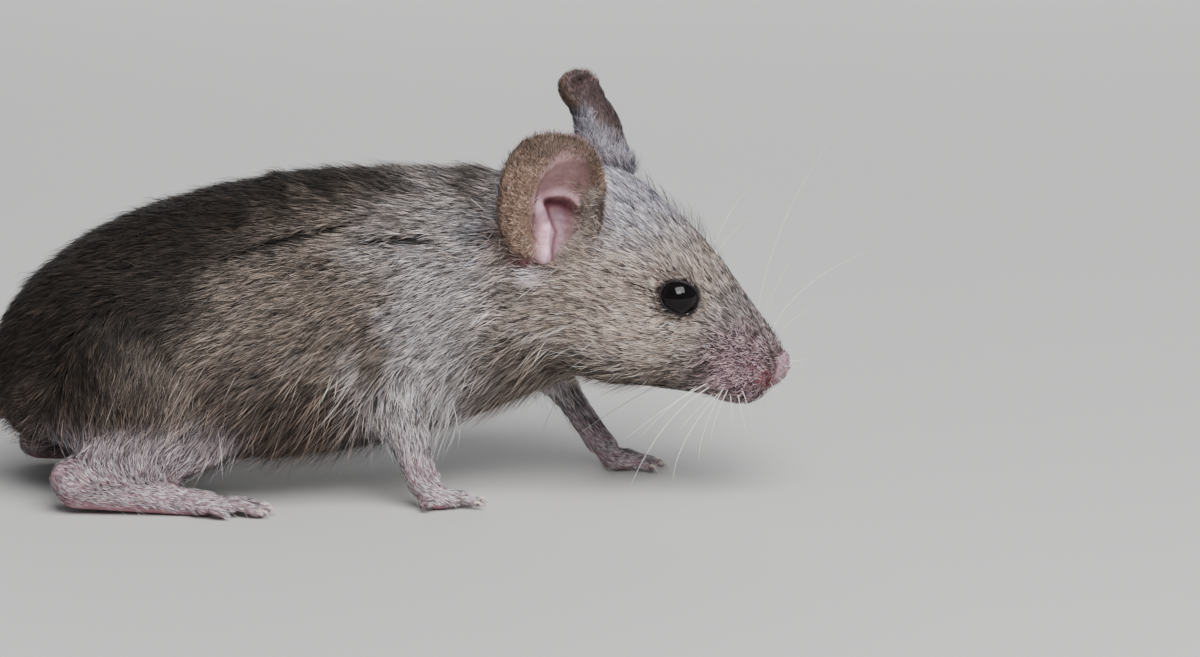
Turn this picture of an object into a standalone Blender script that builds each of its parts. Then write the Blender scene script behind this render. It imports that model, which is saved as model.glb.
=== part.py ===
"""A life-size house mouse, standing with its head low and forward and one forefoot ahead.

The animal faces +X, with +Z up and its left side towards +Y. Sizes are typed in millimetres
and turned into metres by MM. The solids hold the outline of the coat.
"""

import math

import bmesh
import bpy
from mathutils import Matrix, Vector

MM = 0.001

# Driving sizes, in millimetres
GAP = 0.3                # free space between pieces that meet
VOXEL = 0.4              # grain of the blended body
BODY_TRIANGLES = 3260    # of the blended body, before it is parted
COAT_CREASE = 2.2        # radius of the soft folds where limbs join the trunk
EYE_RADIUS = 1.75
EAR_WALL = 0.7
TAIL_LENGTH = 72.0
TAIL_BASE_RADIUS = 1.75
TAIL_TIP_RADIUS = 0.55
SOLE = 0.12              # how much of each rounded sole is pressed flat

# The trunk, from rump to neck: along X, top, underside, half width
TRUNK = (
    (-37.6, 12.2, 8.6, 1.8),
    (-36.4, 15.2, 6.0, 5.2),
    (-33.6, 18.6, 4.0, 8.6),
    (-29.0, 22.0, 3.1, 11.2),
    (-23.0, 24.6, 2.9, 12.5),
    (-16.0, 26.4, 3.0, 12.6),
    (-9.0, 27.4, 3.4, 11.8),
    (-3.0, 27.6, 4.6, 10.8),
    (3.0, 27.5, 6.4, 9.8),
    (8.0, 27.0, 8.4, 8.8),
    (12.0, 25.6, 10.6, 7.2),
)

# The head, along its own axis: distance, top, underside, half width
HEAD_BACK = (8.0, 0.0, 19.4)
HEAD_PITCH = -19.0       # degrees, nose down
HEAD_YAW = -11.5         # degrees, nose to the animal's right
HEAD = (
    (-4.0, 7.6, -7.0, 7.2),
    (0.0, 9.4, -8.2, 8.6),
    (4.5, 10.2, -7.9, 8.3),
    (8.5, 9.2, -7.2, 7.4),
    (12.5, 7.5, -6.4, 6.2),
    (16.0, 5.5, -5.6, 4.9),
    (19.0, 3.4, -4.9, 3.7),
    (21.2, 1.8, -3.7, 2.7),
    (22.4, 0.8, -2.5, 1.8),
)
MUZZLE_PAD = (19.2, 1.9, -2.3)       # distance, aside, up
MUZZLE_PAD_RADII = (3.2, 2.3, 2.3)
CHEEK = (8.2, 4.2, -1.6)
CHEEK_RADII = (7.0, 3.6, 4.9)
EAR_MOUND = (3.6, 4.4, 5.6)
EAR_MOUND_RADII = (3.0, 2.6, 3.4)
EYE_SEAT = (13.1, 4.75, 3.0)
NOSE_SEAT = (22.2, 0.0, -0.8)
NOSE_RADII = (1.35, 1.6, 1.45)

# Each ear is a bowl with a hind edge that rolls back. The right one is turned out and spread, the
# left one turned back, and more so at its foot, which is drawn in. Centre, the way it rises and
# the way it opens are (distance, aside, up) on the head. Then come the turn of its foot, in
# degrees, and how far it is drawn in.
EARS = {
    "ear_right": ((1.2, 8.3, 7.8), (-0.21, -0.05, 0.98), (0.39, 0.90, 0.19), 0.0, 0.0),
    "ear_left": ((-0.3, 7.2, 10.1), (-0.52, 0.15, 0.80), (-0.86, 0.44, -0.30), 32.0, 0.2),
}
EAR_HALF_HEIGHT = 5.3
EAR_HALF_WIDTH = 4.1
EAR_DEPTH = 3.4
EAR_ROLL = 2.0                       # how far the hind edge drops behind its ridge
EAR_ROLL_TURN = 100.0                # degrees
EAR_ROLL_SHARE = 0.42                # of the way from the deepest point to the rim
EAR_BOWL_RINGS = 3
EAR_ROLL_RINGS = 3
EAR_SECTORS = 20

# Legs: joints from shoulder or hip to foot, each with its radius
FORELEG_RIGHT = (
    ((2.0, -5.4, 15.0), 4.6),
    ((-2.8, -7.2, 9.4), 3.1),
    ((-2.2, -7.7, 6.2), 2.0),
    ((-1.4, -7.7, 3.4), 1.45),
    ((-0.8, -7.7, 1.5), 1.1),
)
FORELEG_LEFT = (
    ((3.5, 5.4, 15.0), 4.6),
    ((8.2, 6.7, 9.8), 2.7),
    ((10.6, 6.9, 7.0), 1.6),
    ((12.7, 6.8, 3.9), 1.3),
    ((14.2, 6.7, 1.7), 1.05),
)
HINDLEG_RIGHT = (
    ((-26.0, -5.6, 13.4), 7.4),
    ((-19.8, -8.0, 8.2), 4.6),
    ((-25.0, -8.8, 5.6), 3.2),
    ((-30.2, -9.2, 2.9), 1.9),
)
HINDLEG_LEFT = (
    ((-27.0, 5.6, 13.4), 7.4),
    ((-22.8, 8.0, 8.2), 4.6),
    ((-28.4, 8.8, 5.6), 3.2),
    ((-34.2, 9.2, 2.9), 1.9),
)

# Toes of a foot, from the inner one out: where it springs (ahead, aside), its turn outwards
# in degrees, its length and its radius
FORE_TOES = (
    (0.9, -0.9, -26.0, 1.9, 0.45),
    (1.2, -0.3, -6.0, 2.3, 0.48),
    (1.2, 0.4, 10.0, 2.2, 0.48),
    (0.4, 0.9, 36.0, 1.9, 0.45),
)
PLANTED_TOES = FORE_TOES[:3] + ((-0.9, 0.9, 112.0, 2.1, 0.5),)
HIND_TOES = (
    (0.2, -1.1, -20.0, 2.8, 0.52),
    (1.6, -0.7, -8.0, 3.7, 0.56),
    (1.8, 0.0, 0.0, 3.9, 0.58),
    (1.6, 0.7, 8.0, 3.7, 0.56),
    (-0.2, 1.2, 22.0, 2.8, 0.52),
)
FORE_PAW_RADII = (1.9, 1.45, 1.0)
HIND_SOLE_RADIUS = 1.4

COLOURS = {
    "coat": (0.30, 0.25, 0.20),
    "pale coat": (0.45, 0.40, 0.36),
    "bare skin": (0.62, 0.42, 0.42),
    "nose": (0.68, 0.33, 0.33),
    "eye": (0.005, 0.005, 0.006),
}
ROUGHNESS = {"eye": 0.05, "nose": 0.45}


# ---------------------------------------------------------------- curves and frames

def spline(rows, t):
    """The row of numbers at t on a smooth curve through rows, whose first number is t."""
    last = len(rows) - 1
    i = max(0, min(last - 1, sum(row[0] <= t for row in rows) - 1))

    def slope(k, column):
        before, after = rows[max(0, k - 1)], rows[min(last, k + 1)]
        return (after[column] - before[column]) / (after[0] - before[0])

    span = rows[i + 1][0] - rows[i][0]
    u = (t - rows[i][0]) / span
    ease = u * u * (3 - 2 * u)
    enter = u * (1 - u) ** 2 * span
    leave = u * u * (u - 1) * span
    return [
        rows[i][c] + ease * (rows[i + 1][c] - rows[i][c])
        + enter * slope(i, c) + leave * slope(i + 1, c)
        for c in range(1, len(rows[0]))
    ]


def through(joints, steps):
    """Points and radii along a smooth curve through (point, radius) joints."""
    rows = [(k, *point, radius) for k, (point, radius) in enumerate(joints)]
    last = len(rows) - 1
    found = [spline(rows, last * k / steps) for k in range(steps + 1)]
    return [(Vector(f[:3]), f[3]) for f in found]


def head_frame():
    """The matrix that carries (distance, aside, up) on the head, in millimetres, to the animal."""
    pitch = math.radians(HEAD_PITCH)
    yaw = math.radians(HEAD_YAW)
    turn = Matrix.Rotation(yaw, 4, "Z") @ Matrix.Rotation(-pitch, 4, "Y")
    return Matrix.Translation(Vector(HEAD_BACK)) @ turn


def on_head(seat, side):
    """A seat on the head, in millimetres. side is 1 for the animal's left and -1 for its right."""
    distance, aside, up = seat
    return head_frame() @ Vector((distance, side * aside, up))


# ---------------------------------------------------------------- shapes

def finish_mesh(name, bm):
    """A new object from bm, whose numbers are in millimetres."""
    bmesh.ops.recalc_face_normals(bm, faces=bm.faces)
    bmesh.ops.scale(bm, vec=(MM, MM, MM), verts=bm.verts)
    mesh = bpy.data.meshes.new(name)
    bm.to_mesh(mesh)
    bm.free()
    obj = bpy.data.objects.new(name, mesh)
    bpy.context.scene.collection.objects.link(obj)
    return obj


def skinned(name, rings):
    """A closed body over rings of points, each ring joined to the next and the ends filled."""
    bm = bmesh.new()
    loops = []
    for ring in rings:
        points = [bm.verts.new(point) for point in ring]
        count = len(points)
        loops.append([bm.edges.new((points[k], points[(k + 1) % count])) for k in range(count)])
    for one, other in zip(loops, loops[1:]):
        bmesh.ops.bridge_loops(bm, edges=one + other)
    for end in (loops[0], loops[-1]):
        bmesh.ops.holes_fill(bm, edges=end, sides=0)
    bmesh.ops.triangulate(bm, faces=[face for face in bm.faces if len(face.verts) > 4])
    return finish_mesh(name, bm)


def egg_ring(frame, x, top, underside, half_width, aside=0.0, points=40):
    """A ring across frame at x, as an egg with its own heights above and below its middle."""
    middle = underside + 0.46 * (top - underside)
    ring = []
    for k in range(points):
        angle = 2 * math.pi * k / points
        height = (top - middle) if math.sin(angle) > 0 else (middle - underside)
        ring.append(frame @ Vector((
            x, aside + half_width * math.cos(angle), middle + height * math.sin(angle))))
    return ring


def along_stations(name, frame, stations, steps):
    """A smooth body through rings at stations of (x, top, underside, half width)."""
    first, last = stations[0][0], stations[-1][0]
    places = [first + (last - first) * k / steps for k in range(steps + 1)]
    return skinned(name, [egg_ring(frame, x, *spline(stations, x)) for x in places])


def tube(name, joints, steps=14, sides=16):
    """A round limb through (point, radius) joints, with domed ends."""
    line = through(joints, steps)
    rings = []
    side = None
    for k, (point, radius) in enumerate(line):
        before = line[max(0, k - 1)][0]
        after = line[min(steps, k + 1)][0]
        along = (after - before).normalized()
        side = along.orthogonal() if side is None else side - along * side.dot(along)
        side.normalize()
        up = along.cross(side)
        ends = {0: -1, steps: 1}
        domes = [(math.radians(a), ends[k]) for a in (0, 30, 60, 80)] if k in ends else [(0, 0)]
        if k == 0:
            domes.reverse()
        for lift, way in domes:
            centre = point + along * (way * radius * math.sin(lift))
            reach = radius * math.cos(lift)
            rings.append([
                centre + reach * (math.cos(a) * side + math.sin(a) * up)
                for a in (2 * math.pi * s / sides for s in range(sides))
            ])
    return skinned(name, rings)


def ellipsoid(name, centre, radii, turn=None, segments=28, rings=14):
    """An ellipsoid of radii about centre, turned by a matrix."""
    bm = bmesh.new()
    bmesh.ops.create_uvsphere(bm, u_segments=segments, v_segments=rings, radius=1.0)
    place = Matrix.Translation(Vector(centre)) @ (turn or Matrix.Identity(4))
    place = place @ Matrix.Diagonal((*radii, 1.0))
    bmesh.ops.transform(bm, matrix=place, verts=bm.verts)
    return finish_mesh(name, bm)


def slab(name, centre, axis, thickness, reach=60.0):
    """A wide box centred at centre, thin along axis."""
    bm = bmesh.new()
    bmesh.ops.create_cube(bm, size=1.0)
    turn = Vector(axis).to_track_quat("X", "Z").to_matrix().to_4x4()
    place = Matrix.Translation(Vector(centre)) @ turn
    place = place @ Matrix.Diagonal((thickness, reach, reach, 1.0))
    bmesh.ops.transform(bm, matrix=place, verts=bm.verts)
    return finish_mesh(name, bm)


# ---------------------------------------------------------------- working on meshes

def applied(obj):
    """obj with its modifiers applied to its own mesh."""
    graph = bpy.context.evaluated_depsgraph_get()
    mesh = bpy.data.meshes.new_from_object(obj.evaluated_get(graph))
    obj.modifiers.clear()
    obj.data = mesh
    return obj


def joined(name, objects):
    """One object that holds the meshes of all of these, which are removed."""
    bm = bmesh.new()
    for obj in objects:
        bm.from_mesh(obj.data)
        bpy.data.objects.remove(obj)
    mesh = bpy.data.meshes.new(name)
    bm.to_mesh(mesh)
    bm.free()
    obj = bpy.data.objects.new(name, mesh)
    bpy.context.scene.collection.objects.link(obj)
    return obj


def copy_of(obj, name):
    twin = bpy.data.objects.new(name, obj.data.copy())
    bpy.context.scene.collection.objects.link(twin)
    return twin


def combined(obj, operation, other, keep_other=False):
    """obj after a Boolean with other, which is removed unless it is kept."""
    change = obj.modifiers.new(operation.lower(), "BOOLEAN")
    change.operation = operation
    change.object = other
    applied(obj)
    if not keep_other:
        bpy.data.objects.remove(other)
    return largest_body(obj)


def largest_body(obj):
    """obj without the loose crumbs that a cut may leave."""
    bm = bmesh.new()
    bm.from_mesh(obj.data)
    unseen = set(bm.verts)
    bodies = []
    while unseen:
        body = {unseen.pop()}
        edge = list(body)
        while edge:
            vert = edge.pop()
            for link in vert.link_edges:
                other = link.other_vert(vert)
                if other in unseen:
                    unseen.remove(other)
                    body.add(other)
                    edge.append(other)
        bodies.append(body)
    bodies.sort(key=len, reverse=True)
    for crumb in bodies[1:]:
        bmesh.ops.delete(bm, geom=list(crumb), context="VERTS")
    bm.to_mesh(obj.data)
    bm.free()
    return obj


def swollen(obj, name, by):
    """A copy of obj with its surface moved out by a distance in millimetres."""
    twin = copy_of(obj, name)
    swell = twin.modifiers.new("swell", "DISPLACE")
    swell.strength = by * MM
    swell.mid_level = 0.0
    return applied(twin)


def blended(obj, voxel, rounds, triangles, softness):
    """Overlapping bodies grown into one skin, smoothed by softness(point in mm) and thinned out."""
    grow = obj.modifiers.new("grow together", "REMESH")
    grow.mode = "VOXEL"
    grow.voxel_size = voxel * MM
    applied(obj)
    group = obj.vertex_groups.new(name="soft")
    for vertex in obj.data.vertices:
        group.add([vertex.index], softness(vertex.co / MM), "REPLACE")
    smooth = obj.modifiers.new("smooth", "SMOOTH")
    smooth.factor = 0.5
    smooth.iterations = rounds
    smooth.vertex_group = group.name
    thin = obj.modifiers.new("thin out", "DECIMATE")
    thin.ratio = triangles / (2 * len(obj.data.polygons))
    applied(obj)
    obj.vertex_groups.clear()
    return obj


def level_sole(obj):
    """obj cut flat at the floor."""
    floor = slab(obj.name + "_floor", (0, 0, -5), (0, 0, 1), 10.0, 400.0)
    return combined(obj, "DIFFERENCE", floor)


# ---------------------------------------------------------------- the body

def foot(name, place, heading, toes, side, heel=None):
    """A paw at place with its toes, on the floor, heading in degrees from straight ahead."""
    turn = Matrix.Rotation(math.radians(heading), 4, "Z")
    at = Matrix.Translation(Vector(place)) @ turn
    pieces = []
    if heel is None:
        length, width, height = FORE_PAW_RADII
        lift = Vector((0.0, 0.0, height - SOLE))
        pieces.append(ellipsoid(name + "_palm", at @ lift, (length, width, height), turn))
    else:
        ball = at @ Vector((0.4, 0.0, HIND_SOLE_RADIUS - SOLE - 0.3))
        middle = (Vector(heel) + ball) / 2
        pieces.append(tube(name + "_sole", (
            (Vector(heel), 1.7), (middle, HIND_SOLE_RADIUS), (ball, HIND_SOLE_RADIUS - 0.2))))
    for k, (ahead, aside, turn_out, length, radius) in enumerate(toes):
        angle = math.radians(side * turn_out)
        way = Vector((math.cos(angle), math.sin(angle), 0.0))
        root = Vector((ahead, side * aside, radius + 0.35))
        knuckle = root + way * 0.5 * length + Vector((0, 0, 0.1))
        tip = root + way * length
        tip.z = radius - SOLE
        pieces.append(tube(f"{name}_toe_{k}", (
            (at @ root, radius * 1.1), (at @ knuckle, radius), (at @ tip, radius * 0.85)), 6, 10))
    return pieces


def whole_body():
    """Trunk, head, legs and feet grown into one."""
    frame = head_frame()
    level = Matrix.Identity(4)
    pieces = [
        along_stations("trunk_form", level, TRUNK, 40),
        along_stations("head_form", frame, HEAD, 32),
        ellipsoid("nose_form", on_head(NOSE_SEAT, 1), NOSE_RADII, frame.to_3x3().to_4x4()),
        tube("tail_root_form", TAIL_JOINTS[:3]),
    ]
    for side in (-1, 1):
        turn = frame.to_3x3().to_4x4()
        for form, seat, radii in (
            ("muzzle_pad", MUZZLE_PAD, MUZZLE_PAD_RADII),
            ("cheek", CHEEK, CHEEK_RADII),
            ("ear_mound", EAR_MOUND, EAR_MOUND_RADII),
        ):
            pieces.append(ellipsoid(f"{form}_{side}", on_head(seat, side), radii, turn))
    for name, joints in LEGS.items():
        pieces.append(tube(name + "_form", joints))
    for name, (place, heading, toes, side, heel) in FEET.items():
        pieces += foot(name + "_form", place, heading, toes, side, heel)

    def softness(point):
        near_floor = max(0.0, min(1.0, (point.z - 2.6) / 3.0))
        from_nose = (point - on_head(NOSE_SEAT, 1)).length
        return max(0.08, min(near_floor, 0.25 + from_nose / 9.0, 1.0))

    rounds = round((COAT_CREASE / VOXEL) ** 2)
    body = blended(joined("body", pieces), VOXEL, rounds, BODY_TRIANGLES, softness)
    return level_sole(body)


def tail_joints():
    """The tail's line: out from the rump, down to the floor and along it in a slow bend."""
    root = Vector((-36.0, 0.0, 9.6))
    landing = Vector((-51.0, -1.4, TAIL_BASE_RADIUS - 0.25))
    line = [(tuple(root), TAIL_BASE_RADIUS + 0.5), ((-42.5, -0.6, 4.4), TAIL_BASE_RADIUS)]
    drop = (landing - root).length
    steps = 12
    point = landing
    stretch = (TAIL_LENGTH - drop) / steps
    for k in range(steps + 1):
        share = k / steps
        radius = TAIL_BASE_RADIUS + (TAIL_TIP_RADIUS - TAIL_BASE_RADIUS) * (0.2 + 0.8 * share)
        line.append(((point.x, point.y, radius - SOLE), radius))
        heading = math.radians(184.0 - 62.0 * share ** 1.3)
        point = point + stretch * Vector((math.cos(heading), math.sin(heading), 0.0))
    return tuple(line)


TAIL_JOINTS = tail_joints()
LEGS = {
    "foreleg_right": FORELEG_RIGHT,
    "foreleg_left": FORELEG_LEFT,
    "hindleg_right": HINDLEG_RIGHT,
    "hindleg_left": HINDLEG_LEFT,
}
FEET = {
    "forefoot_right": ((0.2, -7.7, 0.0), 4.0, PLANTED_TOES, -1, None),
    "forefoot_left": ((15.4, 6.6, 0.0), 2.0, FORE_TOES, 1, None),
    "hindfoot_right": ((-19.6, -9.9, 0.0), -4.0, HIND_TOES, -1, (-30.0, -9.2, 2.0)),
    "hindfoot_left": ((-24.2, 9.9, 0.0), 4.0, HIND_TOES, 1, (-34.6, 9.2, 2.0)),
}


def ear_rows(name, side):
    """The deepest point of an ear's bowl and the rings of points round it, out to its rim."""
    turn = head_frame().to_3x3()
    seat, rise, facing, foot_turn, drawn_in = EARS[name]
    mirror = Vector((1, side, 1))
    rise = (turn @ (Vector(rise) * mirror)).normalized()
    facing = turn @ (Vector(facing) * mirror)
    facing = (facing - rise * facing.dot(rise)).normalized()
    ahead = rise.cross(facing) * -side
    centre = on_head(seat, side)
    low_point = Vector((0.12 * EAR_HALF_WIDTH, -0.4 * EAR_HALF_HEIGHT))

    def spot(angle, share, roll):
        """share runs along the bowl from 0 to 1 at its ridge, then roll from 0 to 1 at the rim."""
        behind = (0.5 - 0.5 * math.cos(angle)) ** 1.2
        ridge = 0.94 - EAR_ROLL_SHARE * behind
        lift = math.radians(EAR_ROLL_TURN * roll)
        along = ridge * share if roll == 0 else ridge + (1 - ridge) * math.sin(lift)
        squared = (abs(math.cos(angle)) ** 2.4 + abs(math.sin(angle)) ** 2.4) ** (-1 / 2.4)
        rim = squared * Vector((EAR_HALF_WIDTH * math.cos(angle), EAR_HALF_HEIGHT * math.sin(angle)))
        flat = low_point + (rim - low_point) * along
        depth = -EAR_DEPTH * (1 - share ** 1.7) - EAR_ROLL * behind * (1 - math.cos(lift))
        down = 0.5 - 0.5 * flat.y / EAR_HALF_HEIGHT
        turned = Matrix.Rotation(math.radians(side * foot_turn * down), 3, rise)
        slim = 1 - drawn_in * down
        return centre + rise * flat.y + turned @ (ahead * flat.x * slim + facing * depth * slim)

    steps = [(k / EAR_BOWL_RINGS, 0) for k in range(1, EAR_BOWL_RINGS + 1)]
    steps += [(1, k / EAR_ROLL_RINGS) for k in range(1, EAR_ROLL_RINGS + 1)]
    turns = [2 * math.pi * k / EAR_SECTORS for k in range(EAR_SECTORS)]
    return spot(0.0, 0.0, 0), [[spot(angle, *step) for angle in turns] for step in steps]


def ear(name, side):
    """The thin shell of an ear."""
    middle, rows = ear_rows(name, side)
    bm = bmesh.new()
    middle = bm.verts.new(middle)
    rows = [[bm.verts.new(point) for point in row] for row in rows]
    for k in range(EAR_SECTORS):
        nxt = (k + 1) % EAR_SECTORS
        bm.faces.new((middle, rows[0][k], rows[0][nxt]))
        for inner, outer in zip(rows, rows[1:]):
            bm.faces.new((inner[k], outer[k], outer[nxt], inner[nxt]))
    obj = finish_mesh(name, bm)
    wall = obj.modifiers.new("wall", "SOLIDIFY")
    wall.thickness = EAR_WALL * MM
    wall.offset = 0.0
    return applied(obj)


def ear_room(name, side):
    """The room that an ear's bowl needs in the head."""
    middle, rows = ear_rows(name, side)
    clear = EAR_WALL / 2 + 2.2 * GAP
    points = [middle] + [point for row in rows[:EAR_BOWL_RINGS] for point in row]
    return wrapped(name + "_room", [(point, clear) for point in points])


# ---------------------------------------------------------------- parting and colours

# Where the body is parted, in millimetres
HEAD_CUT = 0.6               # distance along the head
NECK_CUT = 3.2               # X
WAIST_CUT = -13.0            # X
TAIL_CUT = -39.4             # X
TAIL_LENGTHS = (("tail_root", 0.0, 0.34), ("tail_middle", 0.34, 0.67), ("tail_tip", 0.67, 1.0))

# What each leg and foot takes with it: balls of (place, radius) under one stretched skin. A leg's
# are measured from its joints, by their place in its table, and a foot's from its own place.
FORELEG_BALLS = ((1, (0.4, 0.3, 2.2), 3.7), (1, (-0.4, 0.2, -0.6), 3.6), (3, (0.0, 0.0, -1.6), 2.4))
HINDLEG_BALLS = ((0, (1.0, 4.0, -0.6), 6.6), (1, (0.6, 1.2, 0.0), 5.0), (3, (0.2, 0.2, 1.2), 3.6))
FOREFOOT_BALLS = (((-1.2, 0.0, 0.6), 2.5), ((3.2, 0.0, 0.2), 2.6))
HINDFOOT_BALLS = (((-11.6, -0.3, 1.2), 2.9), ((0.6, 0.0, 0.6), 3.0), ((5.4, 0.0, 0.2), 2.8))


def painted(obj, colour):
    """obj with its own material, shaded smooth."""
    material = bpy.data.materials.new(obj.name + "_" + colour.replace(" ", "_"))
    material.use_nodes = True
    surface = material.node_tree.nodes["Principled BSDF"]
    surface.inputs["Base Color"].default_value = (*COLOURS[colour], 1.0)
    surface.inputs["Roughness"].default_value = ROUGHNESS.get(colour, 0.8)
    surface.inputs["Metallic"].default_value = 0.0
    obj.data.materials.clear()
    obj.data.materials.append(material)
    obj.data.shade_smooth()
    obj.data.set_sharp_from_angle(angle=math.radians(50))
    return obj


def wrapped(name, balls, swell=0.0, fineness=1):
    """The convex body stretched over balls of (centre, radius), each grown by swell."""
    bm = bmesh.new()
    for centre, radius in balls:
        bmesh.ops.create_icosphere(bm, subdivisions=fineness, radius=radius + swell,
                                   matrix=Matrix.Translation(Vector(centre)))
    bmesh.ops.delete(bm, geom=list(bm.edges), context="EDGES_FACES")
    bmesh.ops.convex_hull(bm, input=bm.verts)
    bmesh.ops.delete(bm, geom=[v for v in bm.verts if not v.link_faces], context="VERTS")
    return finish_mesh(name, bm)


def parted(body, name, balls):
    """The piece of body inside wrapped balls. Body keeps the rest, less a gap round the piece."""
    piece = combined(copy_of(body, name), "INTERSECT", wrapped(name + "_region", balls))
    combined(body, "DIFFERENCE", wrapped(name + "_clear", balls, GAP))
    return piece


def half_space(name, point, axis, depth=120.0):
    """A block that fills the side of a plane that axis points to."""
    way = Vector(axis).normalized()
    return slab(name, Vector(point) + way * depth / 2, way, depth, 150.0)


def split(body, name, point, axis):
    """The piece of body beyond a plane. Body keeps what lies before it, less the gap."""
    way = Vector(axis).normalized()
    beyond = half_space(name + "_beyond", point, way)
    before = half_space(name + "_before", Vector(point) - way * GAP, -way)
    piece = combined(copy_of(body, name), "INTERSECT", beyond)
    combined(body, "INTERSECT", before)
    return piece


def parted_legs(body):
    """Feet cut off at wrist and heel, then each leg out of the trunk."""
    pieces = {}
    for name, (place, heading, toes, side, heel) in FEET.items():
        at = Matrix.Translation(Vector(place)) @ Matrix.Rotation(math.radians(heading), 4, "Z")
        balls = FOREFOOT_BALLS if heel is None else HINDFOOT_BALLS
        mirror = Vector((1, side, 1))
        pieces[name] = parted(body, name, [(at @ (Vector(c) * mirror), r) for c, r in balls])
    for name, joints in LEGS.items():
        mirror = Vector((1, -1 if name.endswith("right") else 1, 1))
        balls = FORELEG_BALLS if name.startswith("fore") else HINDLEG_BALLS
        pieces[name] = parted(body, name, [
            (Vector(joints[joint][0]) + Vector(offset) * mirror, r) for joint, offset, r in balls])
    return pieces


def eyeball(name, seat, swell=0.0):
    """A round eye at seat, or the room for it when it is swollen."""
    return ellipsoid(name, seat, [EYE_RADIUS + swell] * 3, None, 18, 10)


def parted_head(body):
    """Eyes, nose and ears on the head, which still joins the trunk."""
    pieces = {"nose": parted(body, "nose", [(on_head(NOSE_SEAT, 1), max(NOSE_RADII))])}
    for word, side in (("left", 1), ("right", -1)):
        seat = on_head(EYE_SEAT, side)
        combined(body, "DIFFERENCE", eyeball("socket_" + word, seat, GAP))
        pieces["eye_" + word] = eyeball("eye_" + word, seat)
    for word, side in (("left", 1), ("right", -1)):
        combined(body, "DIFFERENCE", ear_room("ear_" + word, side))
    scalp = swollen(body, "scalp", GAP)
    for word, side in (("left", 1), ("right", -1)):
        name = "ear_" + word
        pieces[name] = combined(ear(name, side), "DIFFERENCE", scalp, keep_other=True)
    bpy.data.objects.remove(scalp)
    return pieces


def tail_pieces():
    """The tail in three lengths, each a round tube laid flat on the floor."""
    line = through(TAIL_JOINTS, 2 * len(TAIL_JOINTS))
    first = next(k for k, (point, radius) in enumerate(line) if point.x < TAIL_CUT - GAP)
    (near, near_radius), (far, far_radius) = line[first - 1], line[first]
    share = (TAIL_CUT - GAP - near.x) / (far.x - near.x)
    start = (near.lerp(far, share), near_radius + share * (far_radius - near_radius))
    line = [start] + line[first:]
    count = len(line) - 1
    pieces = {}
    for name, begin, end in TAIL_LENGTHS:
        part = line[round(begin * count):round(end * count) + 1]
        if begin:
            step = (part[1][0] - part[0][0]).normalized() * GAP
            part[0] = (part[0][0] + step, part[0][1])
        pieces[name] = level_sole(blunt_tube(name, part, domed=end == 1.0))
    return pieces


def blunt_tube(name, joints, domed, sides=10):
    """A round bar through joints with flat ends, the last one domed if asked. The first end
    stands square to X, so that it meets the cut of the rump."""
    rings = []
    side = Vector((0, 1, 0))
    last = len(joints) - 1
    for k, (point, radius) in enumerate(joints):
        along = (joints[min(k + 1, last)][0] - joints[max(0, k - 1)][0]).normalized()
        side = (side - along * side.dot(along)).normalized()
        up = along.cross(side)
        lifts = (0, 35, 65) if domed and k == last else (0,)
        for lift in (math.radians(a) for a in lifts):
            centre = point + along * radius * math.sin(lift)
            reach = radius * math.cos(lift)
            turns = (2 * math.pi * s / sides for s in range(sides))
            rings.append([centre + reach * (math.cos(a) * side + math.sin(a) * up) for a in turns])
    if name == "tail_root":
        rings[0] = [Vector((joints[0][0].x, p.y, p.z)) for p in rings[0]]
    return skinned(name, rings)


def centred(pieces):
    """All pieces under one empty, which sets the middle of the whole on the floor at the origin."""
    corners = [Vector(corner) for obj in pieces.values() for corner in obj.bound_box]
    middle = [(min(c[k] for c in corners) + max(c[k] for c in corners)) / 2 for k in (0, 1)]
    floor = min(corner.z for corner in corners)
    mouse = bpy.data.objects.new("mouse", None)
    bpy.context.scene.collection.objects.link(mouse)
    mouse.location = (-middle[0], -middle[1], -floor)
    for obj in pieces.values():
        obj.parent = mouse
    return mouse


def colour_of(name):
    if name.startswith("eye"):
        return "eye"
    if name.startswith("nose"):
        return "nose"
    if "foot" in name or name.startswith(("tail", "ear")):
        return "bare skin"
    return "pale coat" if "leg" in name else "coat"


def main():
    for obj in list(bpy.data.objects):
        bpy.data.objects.remove(obj)
    body = whole_body()
    pieces = parted_head(body)
    pieces |= parted_legs(body)
    way = head_frame().to_3x3() @ Vector((1, 0, 0))
    pieces["head"] = split(body, "head", head_frame() @ Vector((HEAD_CUT, 0, 0)), way)
    pieces["neck"] = split(body, "neck", (NECK_CUT, 0, 0), (1, 0, 0))
    pieces["trunk_front"] = split(body, "trunk_front", (WAIST_CUT, 0, 0), (1, 0, 0))
    pieces["trunk_rear"] = split(body, "trunk_rear", (TAIL_CUT, 0, 0), (1, 0, 0))
    bpy.data.objects.remove(body)
    pieces |= tail_pieces()
    for name, obj in pieces.items():
        painted(obj, colour_of(name))
    centred(pieces)


if __name__ == "__main__":
    main()
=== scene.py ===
"""The looks of a life-size house mouse: skin, eyes, claws, whiskers and coat over its frame.

Run as a script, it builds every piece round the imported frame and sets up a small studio.
Places are worked out from the frame's own boxes. Inside the functions lengths are in
millimetres, and MM turns them into Blender's metres.
"""

import math
from types import SimpleNamespace

import bmesh
import bpy
import numpy as np
from bpy.props import FloatProperty, FloatVectorProperty, PointerProperty
from mathutils import Matrix, Vector
from mathutils.bvhtree import BVHTree
from mathutils.kdtree import KDTree


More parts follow.
